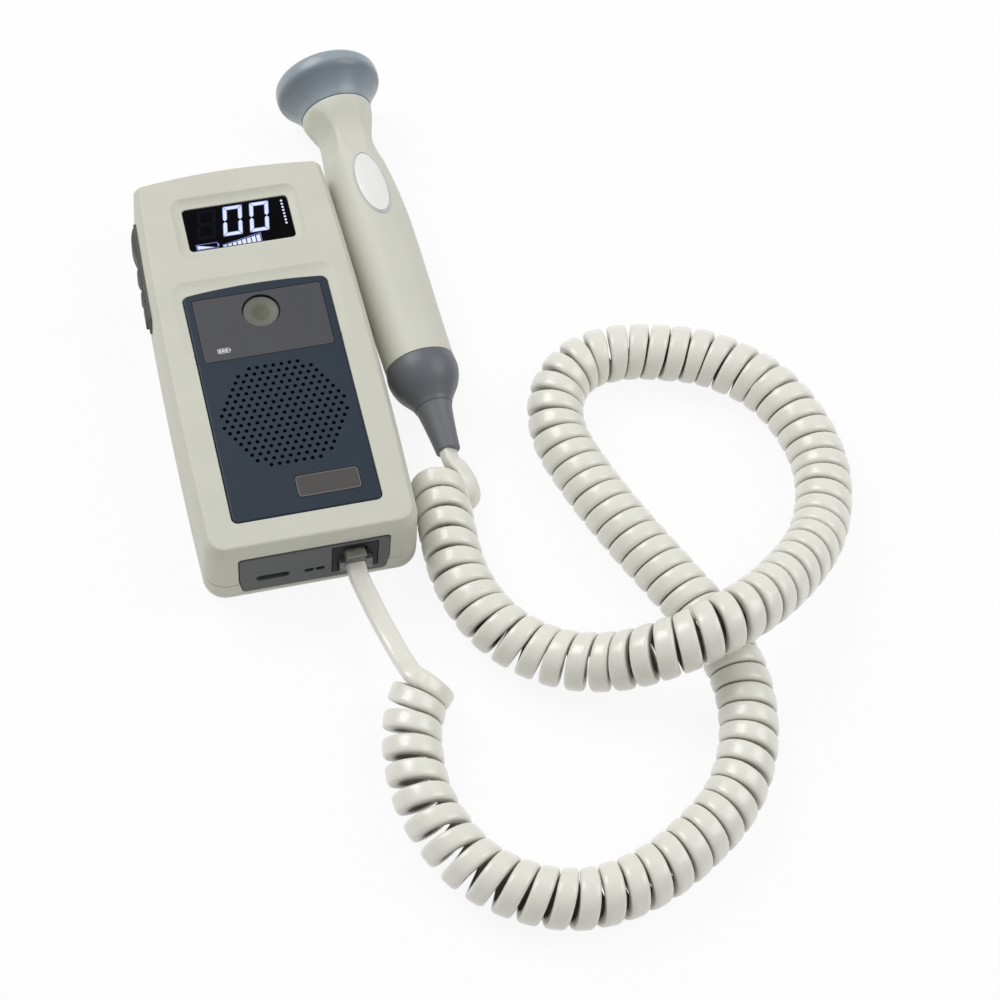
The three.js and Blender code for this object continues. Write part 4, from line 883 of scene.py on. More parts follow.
# The jacket's skin over the stations, with a UV map that runs along it and, where it is wound, round it
def cordSkin(stations):
    shape = bmesh.new()
    uv = shape.loops.layers.uv.new("along")
    sides = cord["sides"]
    rings = []
    travel = [0.0]
    for i, (point, outward, along, width, _) in enumerate(stations):
        rings.append([shape.verts.new(spot) for spot in sectionRing(point, outward, along, width)])
        if i:
            travel.append(travel[-1] + (point - stations[i - 1][0]).length)
    for i, (ring, nextRing) in enumerate(zip(rings, rings[1:])):
        for k in range(sides):
            after = (k + 1) % sides
            cell = shape.faces.new((ring[k], ring[after], nextRing[after], nextRing[k]))
            corners = [(i, k), (i, k + 1), (i + 1, k + 1), (i + 1, k)]
            for loop, (row, column) in zip(cell.loops, corners):
                wound = stations[row][4]
                # where it is wound, the UV runs round the section, so the painted shade falls on the side
                # inside the coil
                around = cord["uvUnshaded"] * (1 - wound) + (column + 0.5) / sides * wound
                loop[uv].uv = (travel[row] * cord["uvScale"], around)
    for ring in (rings[0], rings[-1]):
        shape.faces.new(ring)
    return shape, travel[-1]


def curlyCord():
    stations = coilStations()
    stations = plugStretch(stations[0]) + stations + probeStretch(stations[-1])
    shape, length = cordSkin(stations)
    stands = ("cord_coil", "cord_plug_stretch", "cord_probe_stretch")
    piece = settle("curlyCord", shape, jacket, "lead", stands, sharp=70)
    path = [toObject @ station[0] for station in reversed(stations)]
    return piece, path, length * mm


cordPiece, cordPath, cordLength = curlyCord()
print("curly cord wound,", round(cordLength, 3), "m")


# Plug: a clear body with the cord's end clamped inside it, gold blades and a springy latch
plug = {
    "x": 14.3,
    "width": 11.7,
    "low": 12.9,
    "high": 19.5,
    "front": -2,
    "nose": 12.5,
    "edge": 0.25,
    "mouthWidth": 7.2,
    "mouthLow": 13.5,
    "mouthHigh": 18.4,
    "mouthDepth": 6.2,
    "pitX": 2.4,
    "pitY": (5.6, 9.4),
    "pitFloor": 16.6,
    "ribPitch": 1.02,
    "ribs": 7,
    "ribWidth": 0.28,
    "ribDepth": 0.7,
    "ribReach": 4.2,
    "clampSide": 0.7,
    "clampY": (3.2, 9.3),
    "clampZ": (13.8, 16.2),
    "clampRound": 0.4,
    "latchEdge": 0.25,
}


def plugBody():
    half = plug["width"] / 2
    middle = plug["x"]
    height = (plug["low"], plug["high"])
    shell = block((middle - half, middle + half), (plug["front"], plug["nose"]), height)
    bevelEdges(shell, list(shell.edges), plug["edge"], 3)
    mouthHalf = plug["mouthWidth"] / 2
    mouth = block(
        (middle - mouthHalf, middle + mouthHalf),
        (plug["front"] - over, plug["front"] + plug["mouthDepth"]),
        (plug["mouthLow"], plug["mouthHigh"]),
    )
    pitX = (middle - plug["pitX"], middle + plug["pitX"])
    pit = block(pitX, plug["pitY"], (plug["pitFloor"], plug["high"] + over))
    slotY = (plug["nose"] - plug["ribReach"], plug["nose"] + over)
    slotZ = (plug["low"] - over, plug["low"] + plug["ribDepth"])
    slots = []
    for i in range(plug["ribs"] + 1):
        x = middle + (i - plug["ribs"] / 2) * plug["ribPitch"]
        slots.append(block((x - plug["ribWidth"], x + plug["ribWidth"]), slotY, slotZ))
    shape = carved(shell, mouth, pit, joined(*slots))
    return settle("clearPlug", shape, clear, "lead", ("plug_body",))


def plugClamp():
    half = plug["mouthWidth"] / 2 - plug["clampSide"]
    shape = block((plug["x"] - half, plug["x"] + half), plug["clampY"], plug["clampZ"])
    bevelEdges(shape, list(shape.edges), plug["clampRound"], 3)
    return settle("plugCordEnd", shape, jacket, "lead")


plugPiece = plugBody()
plugEnd = plugClamp()
latchPiece = softened("plug_latch", "clearLatch", latchHighlight, "plug_latch", plug["latchEdge"], 3)
dress("plug_contacts", gold)
print("plug made")


# Covers of the unit
def caseOutline(inset, z, cornerSteps=10, sideSteps=24, topSteps=14):
    lowerRadius = max(case["lowerCorner"] - inset, case["leastCorner"])
    upperRadius = max(case["upperCorner"] - inset, case["leastCorner"])
    lowerY = inset + lowerRadius
    lowerX = halfWidthAt(lowerY) - inset - lowerRadius
    upperX = case["upperHalfWidth"] - inset - upperRadius

    def topLine(x):
        return case["length"] - inset - case["topBow"] * (x / case["upperHalfWidth"]) ** 2

    upperY = topLine(upperX) - upperRadius
    right = []

    def corner(x, y, radius, start):
        for step in range(cornerSteps + 1):
            angle = start + math.pi / 2 * step / cornerSteps
            right.append((x + radius * math.cos(angle), y + radius * math.sin(angle)))

    corner(lowerX, lowerY, lowerRadius, -math.pi / 2)
    for step in range(1, sideSteps):
        y = lowerY + (upperY - lowerY) * step / sideSteps
        right.append((halfWidthAt(y) - inset, y))
    corner(upperX, upperY, upperRadius, 0)
    for step in range(1, topSteps // 2):
        x = upperX * (1 - step / (topSteps / 2))
        right.append((x, topLine(x)))
    left = [(-x, y) for x, y in reversed(right)]
    return [Vector((x, y, z)) for x, y in [*right, (0, topLine(0)), *left]]


# The slope round the face, from the side wall up, soft where it meets the wall and the face
def slopedEdge(steps=4):
    soft = case["slopeSoft"]
    wall = Vector((0, case["slopeDrop"]))
    rim = Vector((case["slopeInset"], 0))
    along = (rim - wall).normalized()
    line = []
    for corner, before, after in ((wall, Vector((0, -1)), along), (rim, along, Vector((1, 0)))):
        for step in range(steps + 1):
            share = step / steps
            line.append(corner - before * soft * (1 - share) ** 2 + after * soft * share ** 2)
    return [(drop, inset) for inset, drop in line]


def roundedEdge(radius, steps=8):
    turns = [math.pi / 2 * step / steps for step in range(steps + 1)]
    return [(radius * (1 - math.cos(turn)), radius * (1 - math.sin(turn))) for turn in turns]


display = {
    "width": 39,
    "height": 18.8,
    "corner": 1.6,
    "y": 137.6,
    "thickness": 1.2,
    "edge": 0.15,
    "dishDepth": 1.7,
    "dishRim": 4.2,
    "dishCorner": 5,
}
fascia = {
    "width": 52.8,
    "height": 95.9,
    "corner": 2.2,
    "y": 60,
    "depth": 1.5,
    "edge": 0.8,
    "bow": 1.6,
    "bowSteps": 16,
}
headDish = {
    "width": 60.5,
    "rise": 6.4,
    "fall": 30,
    "depth": 1.1,
    "slope": 4.6,
    "corner": 5.5,
    "floorCorner": 1.2,
}
dishForm = {"steps": 10, "steepening": 1.7}
overlay = {"width": 46.8, "height": 27, "corner": 0.8, "y": 91.91, "depth": 0.45, "edge": 0.08}
badge = {
    "width": 22.3,
    "height": 8.6,
    "corner": 1.3,
    "x": 9.2,
    "y": 22.21,
    "depth": 0.35,
    "edge": 0.08,
    "rim": 0.28,
    "rimInset": 0.15,
    "rimDepth": 0.05,
    "proud": 0.04,
}
grille = {"y": 53.01, "pitch": 2.92, "reachShare": 7.555, "hole": 0.76, "sides": 14, "opening": 23}
button = {
    "x": 0.3,
    "y": 97.11,
    "radius": 6.65,
    "clearance": 0.45,
    "sunk": 0.5,
    "rim": 0.5,
    "dish": 0.9,
    "stem": 1.75,
    "flange": 1,
    "bowlShares": (0.9, 0.84, 0.76, 0.67, 0.56, 0.45, 0.34, 0.23, 0.12),
    "bowlPower": 1.2,
}
keyStrip = {"length": 43.5, "width": 10.4, "corner": 1.4, "y": 128.7, "z": 20.4, "sunk": 0.7, "edge": 0.35}
keys = {"start": (1, 17.9, 28.4), "length": (15, 7.6, 5.4), "width": 6.6, "well": 1.0, "edge": 0.5}
endPanel = {
    "halfWidth": 26.5,
    "top": 29,
    "bottom": 7.5,
    "knee": 15,
    "slant": 1.2,
    "corner": 1,
    "lipFront": 3,
    "lip": 0.8,
    "back": 4.1,
    "edge": 0.3,
    "jackX": (6, 22.6),
    "jackZ": (10.7, 27.7),
    "slot": {"x": -14.8, "z": 15.2, "width": 11.8, "height": 3.2, "corner": 1.55},
    "windows": {"x": (-2, 1.9), "z": 15, "width": 3.5, "height": 2.3, "corner": 1.1},
}
screw = {
    "x": (31, 28.8),
    "y": (14, 152.5),
    "post": 3.2,
    "rearPost": 4.6,
    "well": 3.35,
    "recess": 4.5,
    "bore": 1.4,
    "rearTop": 9,
    "edge": 0.12,
}


# A slab with the outline of one of the face's plates, grown by a margin all round
def plateSlab(plate, grow, low, high, trim=0):
    width = plate["width"] + 2 * grow
    height = plate["height"] + 2 * grow
    return roundedSlab(width, height, plate["corner"] - trim, plate.get("x", 0), plate["y"], low, high)


# A dish whose slope steepens up to its rim, and whose floor may run out to nothing at its lower end
def softDish(floor, slope, rimCorner, depth, runsOut=False):
    rings = []
    low = floor["y"] - floor["height"] / 2 - slope
    for step in range(dishForm["steps"] + 1):
        share = step / dishForm["steps"]
        width = floor["width"] + 2 * slope * share
        height = floor["height"] + 2 * slope * share
        corner = floor["corner"] + (rimCorner - floor["corner"]) * share
        ring = roundedRing(width, height, corner, 0, floor["y"], faceZ)
        for point in ring:
            sunk = (point.y - low) / (floor["height"] + 2 * slope) if runsOut else 1
            point.z -= depth * (1 - share ** dishForm["steepening"]) * sunk
        rings.append(ring)
    rings.append([point + Vector((0, 0, over)) for point in rings[-1]])
    return pulledThrough(rings)


def displayDish():
    floor = {**display, "width": display["width"] + 2 * slip, "height": display["height"] + 2 * slip}
    return softDish(floor, display["dishRim"], display["dishCorner"], display["dishDepth"])


def fasciaDish():
    slope = headDish["slope"]
    floor = {
        "width": headDish["width"] - 2 * slope,
        "height": headDish["rise"] + headDish["fall"] - 2 * slope,
        "corner": headDish["floorCorner"],
        "y": fascia["y"] + fascia["height"] / 2 + (headDish["rise"] - headDish["fall"]) / 2,
    }
    return softDish(floor, slope, headDish["corner"], headDish["depth"], True)


# Outline of the fascia at a height. Its top edge bows as the unit's does.
def fasciaRing(grow, z):
    half = fascia["width"] / 2 + grow
    ring = roundedRing(2 * half, fascia["height"] + 2 * grow, fascia["corner"] + grow, 0, fascia["y"], z)
    quarter = len(ring) // 4
    steps = fascia["bowSteps"]
    left, right = ring[quarter], ring[quarter - 1]
    ring[quarter:quarter] = [right.lerp(left, step / steps) for step in range(1, steps)]
    for point in ring:
        if point.y > fascia["y"] + fascia["height"] / 2 - fascia["corner"]:
            point.y += fascia["bow"] * (1 - (point.x / half) ** 2)
    return ring


# The end panel's outline, pushed along y
def panelPrism(grow, y):
    half = endPanel["halfWidth"] + grow
    foot = half - endPanel["slant"]
    corner = endPanel["corner"]
    top = endPanel["top"] + grow
    bottom = endPanel["bottom"] - grow
    right = [(foot - corner, bottom), (foot, bottom + corner), (half, endPanel["knee"])]
    right += [(half, top - corner), (half - corner, top)]
    outline = right + [(-x, z) for x, z in reversed(right)]
    return pulledThrough([[Vector((x, at, z)) for x, z in outline] for at in y])


# Matrix of the key strip's frame: its x points out of the left wall and its y down the unit
def keySideFrame():
    upright = case["depth"] - case["faceRound"] - case["split"]
    draft = case["draft"] * (keyStrip["z"] - case["split"]) / upright
    lower = halfWidthAt(keyStrip["y"] - keyStrip["length"] / 2)
    upper = halfWidthAt(keyStrip["y"] + keyStrip["length"] / 2)
    lean = math.atan2(lower - upper, keyStrip["length"])
    x = -(lower + upper) / 2 + draft
    return Matrix.Translation((x, keyStrip["y"], keyStrip["z"])) @ Matrix.Rotation(math.pi - lean, 4, "Z")


keySide = keySideFrame()


def onKeySide(shape):
    shape.transform(keySide)
    return shape


def screwDrums(radius, low, high, sides):
    places = [(side * x, y) for x, y in zip(screw["x"], screw["y"]) for side in (1, -1)]
    return joined(*(drum(radius, x, y, low, high, sides) for x, y in places))


# Cutters for the key strip's seat in the left wall and for the keys' wells behind it
def keySeat():
    halfLength = keyStrip["length"] / 2 + slip
    halfWidth = keyStrip["width"] / 2 + slip
    depth = (-keyStrip["sunk"] - case["gap"], 2 * over)
    seat = block(depth, (-halfLength, halfLength), (-halfWidth, halfWidth))
    deep = edgesWhere(seat, lambda edge: abs(edge.verts[0].co.x - edge.verts[1].co.x) > hair)
    bevelEdges(seat, deep, keyStrip["corner"], 5)
    return onKeySide(seat)


def keyWells():
    half = keys["width"] / 2 + case["gap"]
    depth = (-case["wall"] - keys["well"], over)
    wells = []
    for start, length in zip(keys["start"], keys["length"]):
        top = start - keyStrip["length"] / 2
        along = (top - case["gap"], top + length + case["gap"])
        wells.append(onKeySide(block(depth, along, (-half, half))))
    return wells


def frontCover():
    low = case["split"] + case["halfSeam"]
    rounding = [(faceZ - drop, inset + case["draft"]) for drop, inset in slopedEdge()]
    shell = pulledThrough([caseOutline(inset, z) for z, inset in [(low, 0), *rounding]])
    inside = [
        (case["split"] - over, case["wall"]),
        (ceiling - case["wall"], case["wall"] + case["draft"]),
        (ceiling, case["wall"] + case["faceRound"] / 2),
    ]
    hollow = pulledThrough([caseOutline(inset, z) for z, inset in inside])
    through = (ceiling - over, faceZ + over)
    shaped = carved(
        shell,
        hollow,
        displayDish(),
        fasciaDish(),
        plateSlab(display, slip, *through),
        pulledThrough([fasciaRing(slip, z) for z in (faceZ - fascia["depth"], faceZ + over)]),
        drum(grille["opening"], 0, grille["y"], *through, 64),
        drum(button["radius"] + button["clearance"], button["x"], button["y"], *through),
        panelPrism(case["gap"], (-over, endPanel["lipFront"])),
    )
    shaped = carved(shaped, keySeat(), *keyWells())
    posts = screwDrums(screw["post"], screw["rearTop"] + case["gap"], ceiling + over, 24)
    shaped = carved(shaped, posts, operation="UNION")
    return settle("frontShell", shaped, ivory, "base", ("front_cover",))


def rearCover():
    high = case["split"] - case["halfSeam"]
    under = roundedEdge(case["backRound"])
    shell = pulledThrough([caseOutline(inset, z) for z, inset in [*under, (high, 0)]])
    inner = roundedEdge(case["backRound"] - case["wall"], 5)
    levels = [(case["wall"] + rise, case["wall"] + inset) for rise, inset in inner]
    levels.append((high + over, case["wall"]))
    hollow = pulledThrough([caseOutline(inset, z) for z, inset in levels])
    shaped = carved(shell, hollow)
    posts = screwDrums(screw["rearPost"], case["wall"] / 2, screw["rearTop"], 32)
    shaped = carved(shaped, posts, operation="UNION")
    wells = screwDrums(screw["well"], -over, screw["recess"], 32)
    bores = screwDrums(screw["bore"], 0, screw["rearTop"] + over, 20)
    shaped = carved(shaped, wells, bores, panelPrism(case["gap"], (-over, endPanel["lipFront"])))
    return settle("rearShell", shaped, ivory, "base", ("rear_cover",))


# A fine rounding on the sharp rims that moulding leaves
def addRim(piece, width):
    rim = piece.modifiers.new("rim", "BEVEL")
    rim.width = width * mm
    rim.segments = 2
    rim.limit_method = "ANGLE"
    rim.angle_limit = math.radians(case["rimLimit"])
    rim.use_clamp_overlap = False
    piece.modifiers.move(len(piece.modifiers) - 1, 0)


# A rounded opening through the end panel
def panelHole(x, hole):
    shape = roundedSlab(hole["width"], hole["height"], hole["corner"], 0, 0, -over, endPanel["back"] + over)
    shape.transform(Matrix.Translation((x, 0, hole["z"])) @ Matrix.Rotation(-math.pi / 2, 4, "X"))
    return shape


def endPlate():
    plate = panelPrism(0, (0, endPanel["back"]))
    bevelEdges(plate, edgesWhere(plate, lambda edge: middleOf(edge).y < hair), endPanel["edge"], 3)
    lip = panelPrism(endPanel["lip"], (endPanel["lipFront"] + slip, endPanel["back"]))
    shape = carved(plate, lip, operation="UNION")
    slot, windows = endPanel["slot"], endPanel["windows"]
    holes = [panelHole(slot["x"], slot)] + [panelHole(x, windows) for x in windows["x"]]
    mouth = block(endPanel["jackX"], (-over, endPanel["back"] + over), endPanel["jackZ"])
    shape = carved(shape, joined(*holes), mouth)
    return settle("endPlate", shape, endGrey, "base", ("end_panel",))


addRim(frontCover(), case["frontRim"])
addRim(rearCover(), case["rearRim"])
for i in range(4):
    softened(f"rear_screw_{i + 1}", f"backScrew{i + 1}", steel, "base", screw["edge"])
endPlate()
print("covers made")


# Fascia plate with its staggered round holes
def grilleHoles():
    rowPitch = grille["pitch"] * math.sqrt(3) / 2
    reach = grille["reachShare"] * grille["pitch"]
    rows = math.floor(reach / rowPitch)
    holes = []
    for row in range(-rows, rows + 1):
        shift = 0 if row % 2 == 0 else grille["pitch"] / 2
        columns = math.ceil(reach / grille["pitch"]) + 1
        for column in range(-columns, columns + 1):
            x = column * grille["pitch"] + shift
            y = row * rowPitch
            if math.hypot(x, y) <= reach:
                low = faceZ - fascia["depth"] - over
                holes.append(drum(grille["hole"], x, y + grille["y"], low, faceZ + over, grille["sides"]))
    return joined(*holes)


def fasciaPlate():
    low = faceZ - fascia["depth"]
    slab = pulledThrough([fasciaRing(0, z) for z in (low, faceZ)])
    roundTop(slab, fascia["edge"], 4)
    overlayWell = plateSlab(overlay, slip, faceZ - overlay["depth"], faceZ + over)
    badgeWell = plateSlab(badge, slip, faceZ - badge["depth"], faceZ + over)
    hole = drum(button["radius"] + case["gap"], button["x"], button["y"], low - over, faceZ + over, 64)
    shape = carved(slab, overlayWell, badgeWell, hole, grilleHoles())
    return settle("fasciaPlate", shape, navy, "base", ("fascia_plate",))


# Thin black felt that keeps dust off the speaker
feltDisc = {"gap": 0.1, "thickness": 0.3}


def dustFelt():
    high = faceZ - fascia["depth"] - feltDisc["gap"]
    radius = grille["opening"] - feltDisc["gap"]
    disc = drum(radius, 0, grille["y"], high - feltDisc["thickness"], high, 64)
    return settle("dustFelt", disc, felt, "base")


def overlaySheet():
    low = faceZ - overlay["depth"]
    slab = plateSlab(overlay, 0, low, faceZ)
    roundTop(slab, overlay["edge"], 2)
    hole = drum(button["radius"] + case["gap"], button["x"], button["y"], low - over, faceZ + over, 64)
    return settle("overlaySheet", carved(slab, hole), overlayFilm, "base", ("control_overlay",))


# Small battery sign on the overlay, in white print
batterySign = {
    "x": -16.1,
    "y": 82.4,
    "length": 4.4,
    "height": 2.1,
    "corner": 0.4,
    "innerCorner": 0.25,
    "line": 0.22,
    "tip": 0.4,
    "proud": 0.03,
    "cells": 3,
}


def batteryPrint():
    x, y = batterySign["x"], batterySign["y"]
    low, high = faceZ - batterySign["proud"], faceZ + batterySign["proud"]
    length, height, line = batterySign["length"], batterySign["height"], batterySign["line"]
    outer = roundedSlab(length, height, batterySign["corner"], x, y, low, high, 4)
    shrunk = (length - 2 * line, height - 2 * line, batterySign["innerCorner"])
    inner = roundedSlab(*shrunk, x, y, low - over, high + over, 4)
    tipX = x + length / 2
    tip = block((tipX, tipX + batterySign["tip"]), (y - height / 5, y + height / 5), (low, high))
    shapes = [carved(outer, inner), tip]
    step = (length - 4 * line) / batterySign["cells"]
    cellY = (y - height / 2 + 2 * line, y + height / 2 - 2 * line)
    for i in range(batterySign["cells"]):
        left = x - length / 2 + 2 * line + i * step
        shapes.append(block((left, left + step - line), cellY, (low, high)))
    return settle("batteryPrint", joined(*shapes), printWhite, "base")


def badgePlate():
    slab = plateSlab(badge, 0, faceZ - badge["depth"], faceZ)
    roundTop(slab, badge["edge"], 2)
    settle("badgePlate", slab, badgeFilm, "base", ("badge_plate",))
    outer = plateSlab(badge, -badge["rimInset"], faceZ - badge["rimDepth"], faceZ + badge["proud"])
    inner = plateSlab(badge, -badge["rimInset"] - badge["rim"], faceZ - over, faceZ + over, badge["rim"])
    return settle("badgeRim", carved(outer, inner), rimGrey, "base")


fasciaPlate()
dustFelt()
overlaySheet()
batteryPrint()
badgePlate()
print("fascia made")


# Round button, dished in the middle
def powerButton():
    low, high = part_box("power_button")
    radius, rim, dish, stem = button["radius"], button["rim"], button["dish"], button["stem"]
    top = high.z / mm - button["sunk"]
    foot = low.z / mm
    flangeRadius = (high.x - low.x) / 2 / mm
    flangeTop = ceiling - case["gap"]
    flangeLow = flangeTop - button["flange"]
    profile = [(0, foot), (stem, foot), (stem, flangeLow), (flangeRadius, flangeLow)]
    profile += [(flangeRadius, flangeTop), (radius, flangeTop)]
    for step in range(6):
        turn = math.pi / 2 * step / 5
        profile.append((radius - rim + rim * math.cos(turn), top - rim + rim * math.sin(turn)))
    brim = button["bowlShares"][0]
    for share in button["bowlShares"]:
        sunk = dish * (1 - (share / brim) ** 2) ** button["bowlPower"]
        profile.append((radius * share, top - sunk))
    profile.append((0, top - dish))
    shape = spun(profile, 96)
    shape.transform(Matrix.Translation((button["x"], button["y"], 0)))
    return settle("roundButton", shape, olive, "power_button", ("power_button",))


powerButton()
dress("power_switch", black)


# Display: a pane of dark glass with lit digits, dots, a battery sign and a wedge of bars
lit = {
    "z": 33.0,
    "sunk": 0.05,
    "proud": 0.02,
    "lift": 0.01,
    "lean": 0.155,
    "digitX": (-1.9, 8.0),
    "ghostX": -11.6,
    "digitLow": 133,
    "digitWidth": 9.0,
    "digitHeight": 12.9,
    "stroke": 1.35,
    "edgeStroke": 1.67,
    "whiteStroke": 1.25,
    "cut": 0.16,
    "dotX": 17.3,
    "dotY": (134.8, 145),
    "dots": 8,
    "dotRadius": 0.45,
}
batteryGauge = {
    "x": (-17.2, -9.2),
    "y": (128.4, 131.0),
    "line": 0.22,
    "tip": 0.5,
    "tipInset": 0.7,
    "levelX": (-16.7, -10.4),
    "levelInset": 0.45,
}
loudnessWedge = {
    "x": (-7.6, 6.8),
    "foot": 128.45,
    "tops": (128.9, 132.3),
    "bars": 8,
    "barGap": 0.2,
    "barDrop": 0.75,
    "line": 0.3,
    "lineRise": 0.15,
    "sideGap": 0.05,
}


def litShape(points, lift=0.0):
    low = lit["z"] - lit["sunk"]
    high = lit["z"] + lit["proud"] + lift
    return pulledThrough([[Vector((x, y, z)) for x, y in points] for z in (low, high)])


def litBlock(x, y):
    return litShape([(x[0], y[0]), (x[1], y[0]), (x[1], y[1]), (x[0], y[1])])


# One bar of a digit. An end at a corner of the digit is mitred, and one at its middle is pointed.
def digitBar(start, end, outward, mitres, width, lift=0.0):
    ends = [Vector(start), Vector(end)]
    out = Vector(outward) * (width / 2)
    outline = []
    for i, mitred in enumerate(mitres):
        ahead = (ends[1 - i] - ends[i]).normalized()
        point = ahead * (width / 2)
        spot = ends[i] + ahead * lit["cut"]
        turn = [spot + out - point] if mitred else [spot + out + point, spot]
        turn.append(spot - out + point)
        outline += turn[::-1] if i else turn
    leaned = [(x + (y - lit["digitLow"]) * lit["lean"], y) for x, y in outline]
    return litShape(leaned, lift)


def digitBars(x, middleBar, width, lift=0.0):
    inset = lit["stroke"] / 2
    left = x + inset
    right = x + lit["digitWidth"] - lit["lean"] * lit["digitHeight"] - inset
    low = lit["digitLow"] + inset
    high = lit["digitLow"] + lit["digitHeight"] - inset
    half = (low + high) / 2
    bars = []
    for y, out in ((low, -1), (high, 1)):
        bars.append(((left, y), (right, y), (0, out), (True, True)))
    for x, out in ((left, -1), (right, 1)):
        bars.append(((x, low), (x, half), (out, 0), (True, False)))
        bars.append(((x, half), (x, high), (out, 0), (False, True)))
    if middleBar:
        bars.append(((left, half), (right, half), (0, 1), (False, False)))
    return [digitBar(*bar, width, lift) for bar in bars]


def displayPane():
    pane = plateSlab(display, 0, ceiling - case["gap"] - display["thickness"], lit["z"])
    roundTop(pane, display["edge"], 2)
    return settle("displayPane", pane, screenGlass, "base", ("display_window",))


def dotColumn():
    low, high = lit["dotY"]
    step = (high - low) / (lit["dots"] - 1)
    z = (lit["z"] - lit["sunk"], lit["z"] + lit["proud"])
    return [drum(lit["dotRadius"], lit["dotX"], low + step * i, *z, 12) for i in range(lit["dots"])]


# Battery sign: an outline with its tip, and a slanted level
def gaugeOutline():
    (left, right), (low, high) = batteryGauge["x"], batteryGauge["y"]
    line, tipInset = batteryGauge["line"], batteryGauge["tipInset"]
    z = (lit["z"] - over, lit["z"] + over)
    middle = block((left + line, right - line), (low + line, high - line), z)
    outline = carved(litBlock((left, right), (low, high)), middle)
    tip = litBlock((right, right + batteryGauge["tip"]), (low + tipInset, high - tipInset))
    return [outline, tip]


def gaugeLevel():
    left, right = batteryGauge["levelX"]
    low = batteryGauge["y"][0] + batteryGauge["levelInset"]
    high = batteryGauge["y"][1] - batteryGauge["levelInset"]
    return litShape([(left, low), (right, low), (left, high)])


# Wedge of bars that grow to the right, under a rising line
def wedgeBars():
    first, last = loudnessWedge["x"]
    low, high = loudnessWedge["tops"]
    step = (last - first) / loudnessWedge["bars"]
    gap = loudnessWedge["barGap"]
    bars = []
    for i in range(loudnessWedge["bars"]):
        ends = (first + i * step + gap, first + (i + 1) * step - gap)
        tops = [low + (high - loudnessWedge["barDrop"] - low) * (x - first) / (last - first) for x in ends]
        foot = loudnessWedge["foot"]
        bars.append(litShape([(ends[0], foot), (ends[1], foot), (ends[1], tops[1]), (ends[0], tops[0])]))
    return bars


def wedgeLines():
    first, last = loudnessWedge["x"]
    low, high = loudnessWedge["tops"]
    low += loudnessWedge["lineRise"]
    line = loudnessWedge["line"]
    rising = litShape([(first, low), (last, high - line), (last, high), (first, low + line)])
    return [rising, litBlock((last + loudnessWedge["sideGap"], last + line), (loudnessWedge["foot"], high))]


def displayLights():
    whites = []
    edges = []
    for middle in lit["digitX"]:
        x = middle - lit["digitWidth"] / 2
        edges += digitBars(x, False, lit["edgeStroke"])
        whites += digitBars(x, False, lit["whiteStroke"], lit["lift"])
    whites += dotColumn()
    edges += gaugeOutline()
    whites.append(gaugeLevel())
    whites += wedgeBars()
    edges += wedgeLines()
    ghosts = digitBars(lit["ghostX"] - lit["digitWidth"] / 2, True, lit["stroke"])
    settle("litFigures", joined(*whites), litWhite, "base")
    settle("litOutlines", joined(*edges), litEdge, "base")
    settle("unlitFigure", joined(*ghosts), litGhost, "base")


displayPane()
displayLights()
print("display made")


# Key strip, its keys and the sockets in the lower end
socket = {"jackEdge": 0.15, "portEdge": 0.12}

softened("side_key_strip", "keyStrip", keyRubber, "base", keyStrip["edge"], 3)
for part in ("upper", "middle", "lower"):
    softened(f"side_key_{part}", f"{part}Key", keyRubber, f"side_key_{part}", keys["edge"], 4)
softened("jack_housing", "jackHousing", black, "base", socket["jackEdge"])
softened("charge_port", "chargePort", black, "base", socket["portEdge"])

lens = {"width": 3.1, "height": 1.9, "corner": 0.94, "edge": 0.25, "front": 0.5, "back": 3.6}


# Small dark light windows behind the two oval holes
def statusLenses():
    windows = endPanel["windows"]
    for i, x in enumerate(windows["x"]):
        depth = (lens["front"], lens["back"])
        shape = roundedSlab(lens["width"], lens["height"], lens["corner"], 0, 0, *depth)
        rims = edgesWhere(shape, lambda edge: middleOf(edge).z < lens["front"] + hair)
        bevelEdges(shape, rims, lens["edge"], 3)
        turn = Matrix.Translation((x, 0, windows["z"])) @ Matrix.Rotation(-math.pi / 2, 4, "X")
        settle(f"statusLens{i + 1}", shape, screenGlass, "base", place=toObject @ turn)


statusLenses()
print("keys and sockets made")


# Probe
flute = {
    "count": 6,
    "start": 22,
    "depth": 1.3,
    "middle": 12.2,
    "halfLength": 12,
    "halfTurn": 25,
    "power": 0.7,
}
barrel = {"rings": 90, "innerStep": 9, "crowding": 1.25, "shoulder": 0.72, "endRound": 0.12, "skin": 1}


def barrelRadiusAt(height):
    def blend(first, last, share):
        return first + (last - first) * (0.5 - 0.5 * math.cos(math.pi * share))

    if height < probe["waistAt"]:
        share = max(height - probe["seamAt"], 0) / (probe["waistAt"] - probe["seamAt"])
        return blend(probe["neckRadius"], probe["waistRadius"], share)
    if height < probe["barrelAt"]:
        share = (height - probe["waistAt"]) / (probe["barrelAt"] - probe["waistAt"])
        return blend(probe["waistRadius"], probe["barrelRadius"], share ** barrel["shoulder"])
    share = (height - probe["barrelAt"]) / (probe["bootAt"] - probe["barrelAt"])
    return blend(probe["barrelRadius"], probe["seamRadius"], share)


# How deep a finger scoop is at a height and an angle round the neck
def scoopAt(height, angle):
    turn = 360 / flute["count"]
    off = (math.degrees(angle) - flute["start"] + turn / 2) % turn - turn / 2
    reach = 1 - (off / flute["halfTurn"]) ** 2 - ((height - flute["middle"]) / flute["halfLength"]) ** 2
    return flute["depth"] * max(reach, 0) ** flute["power"]


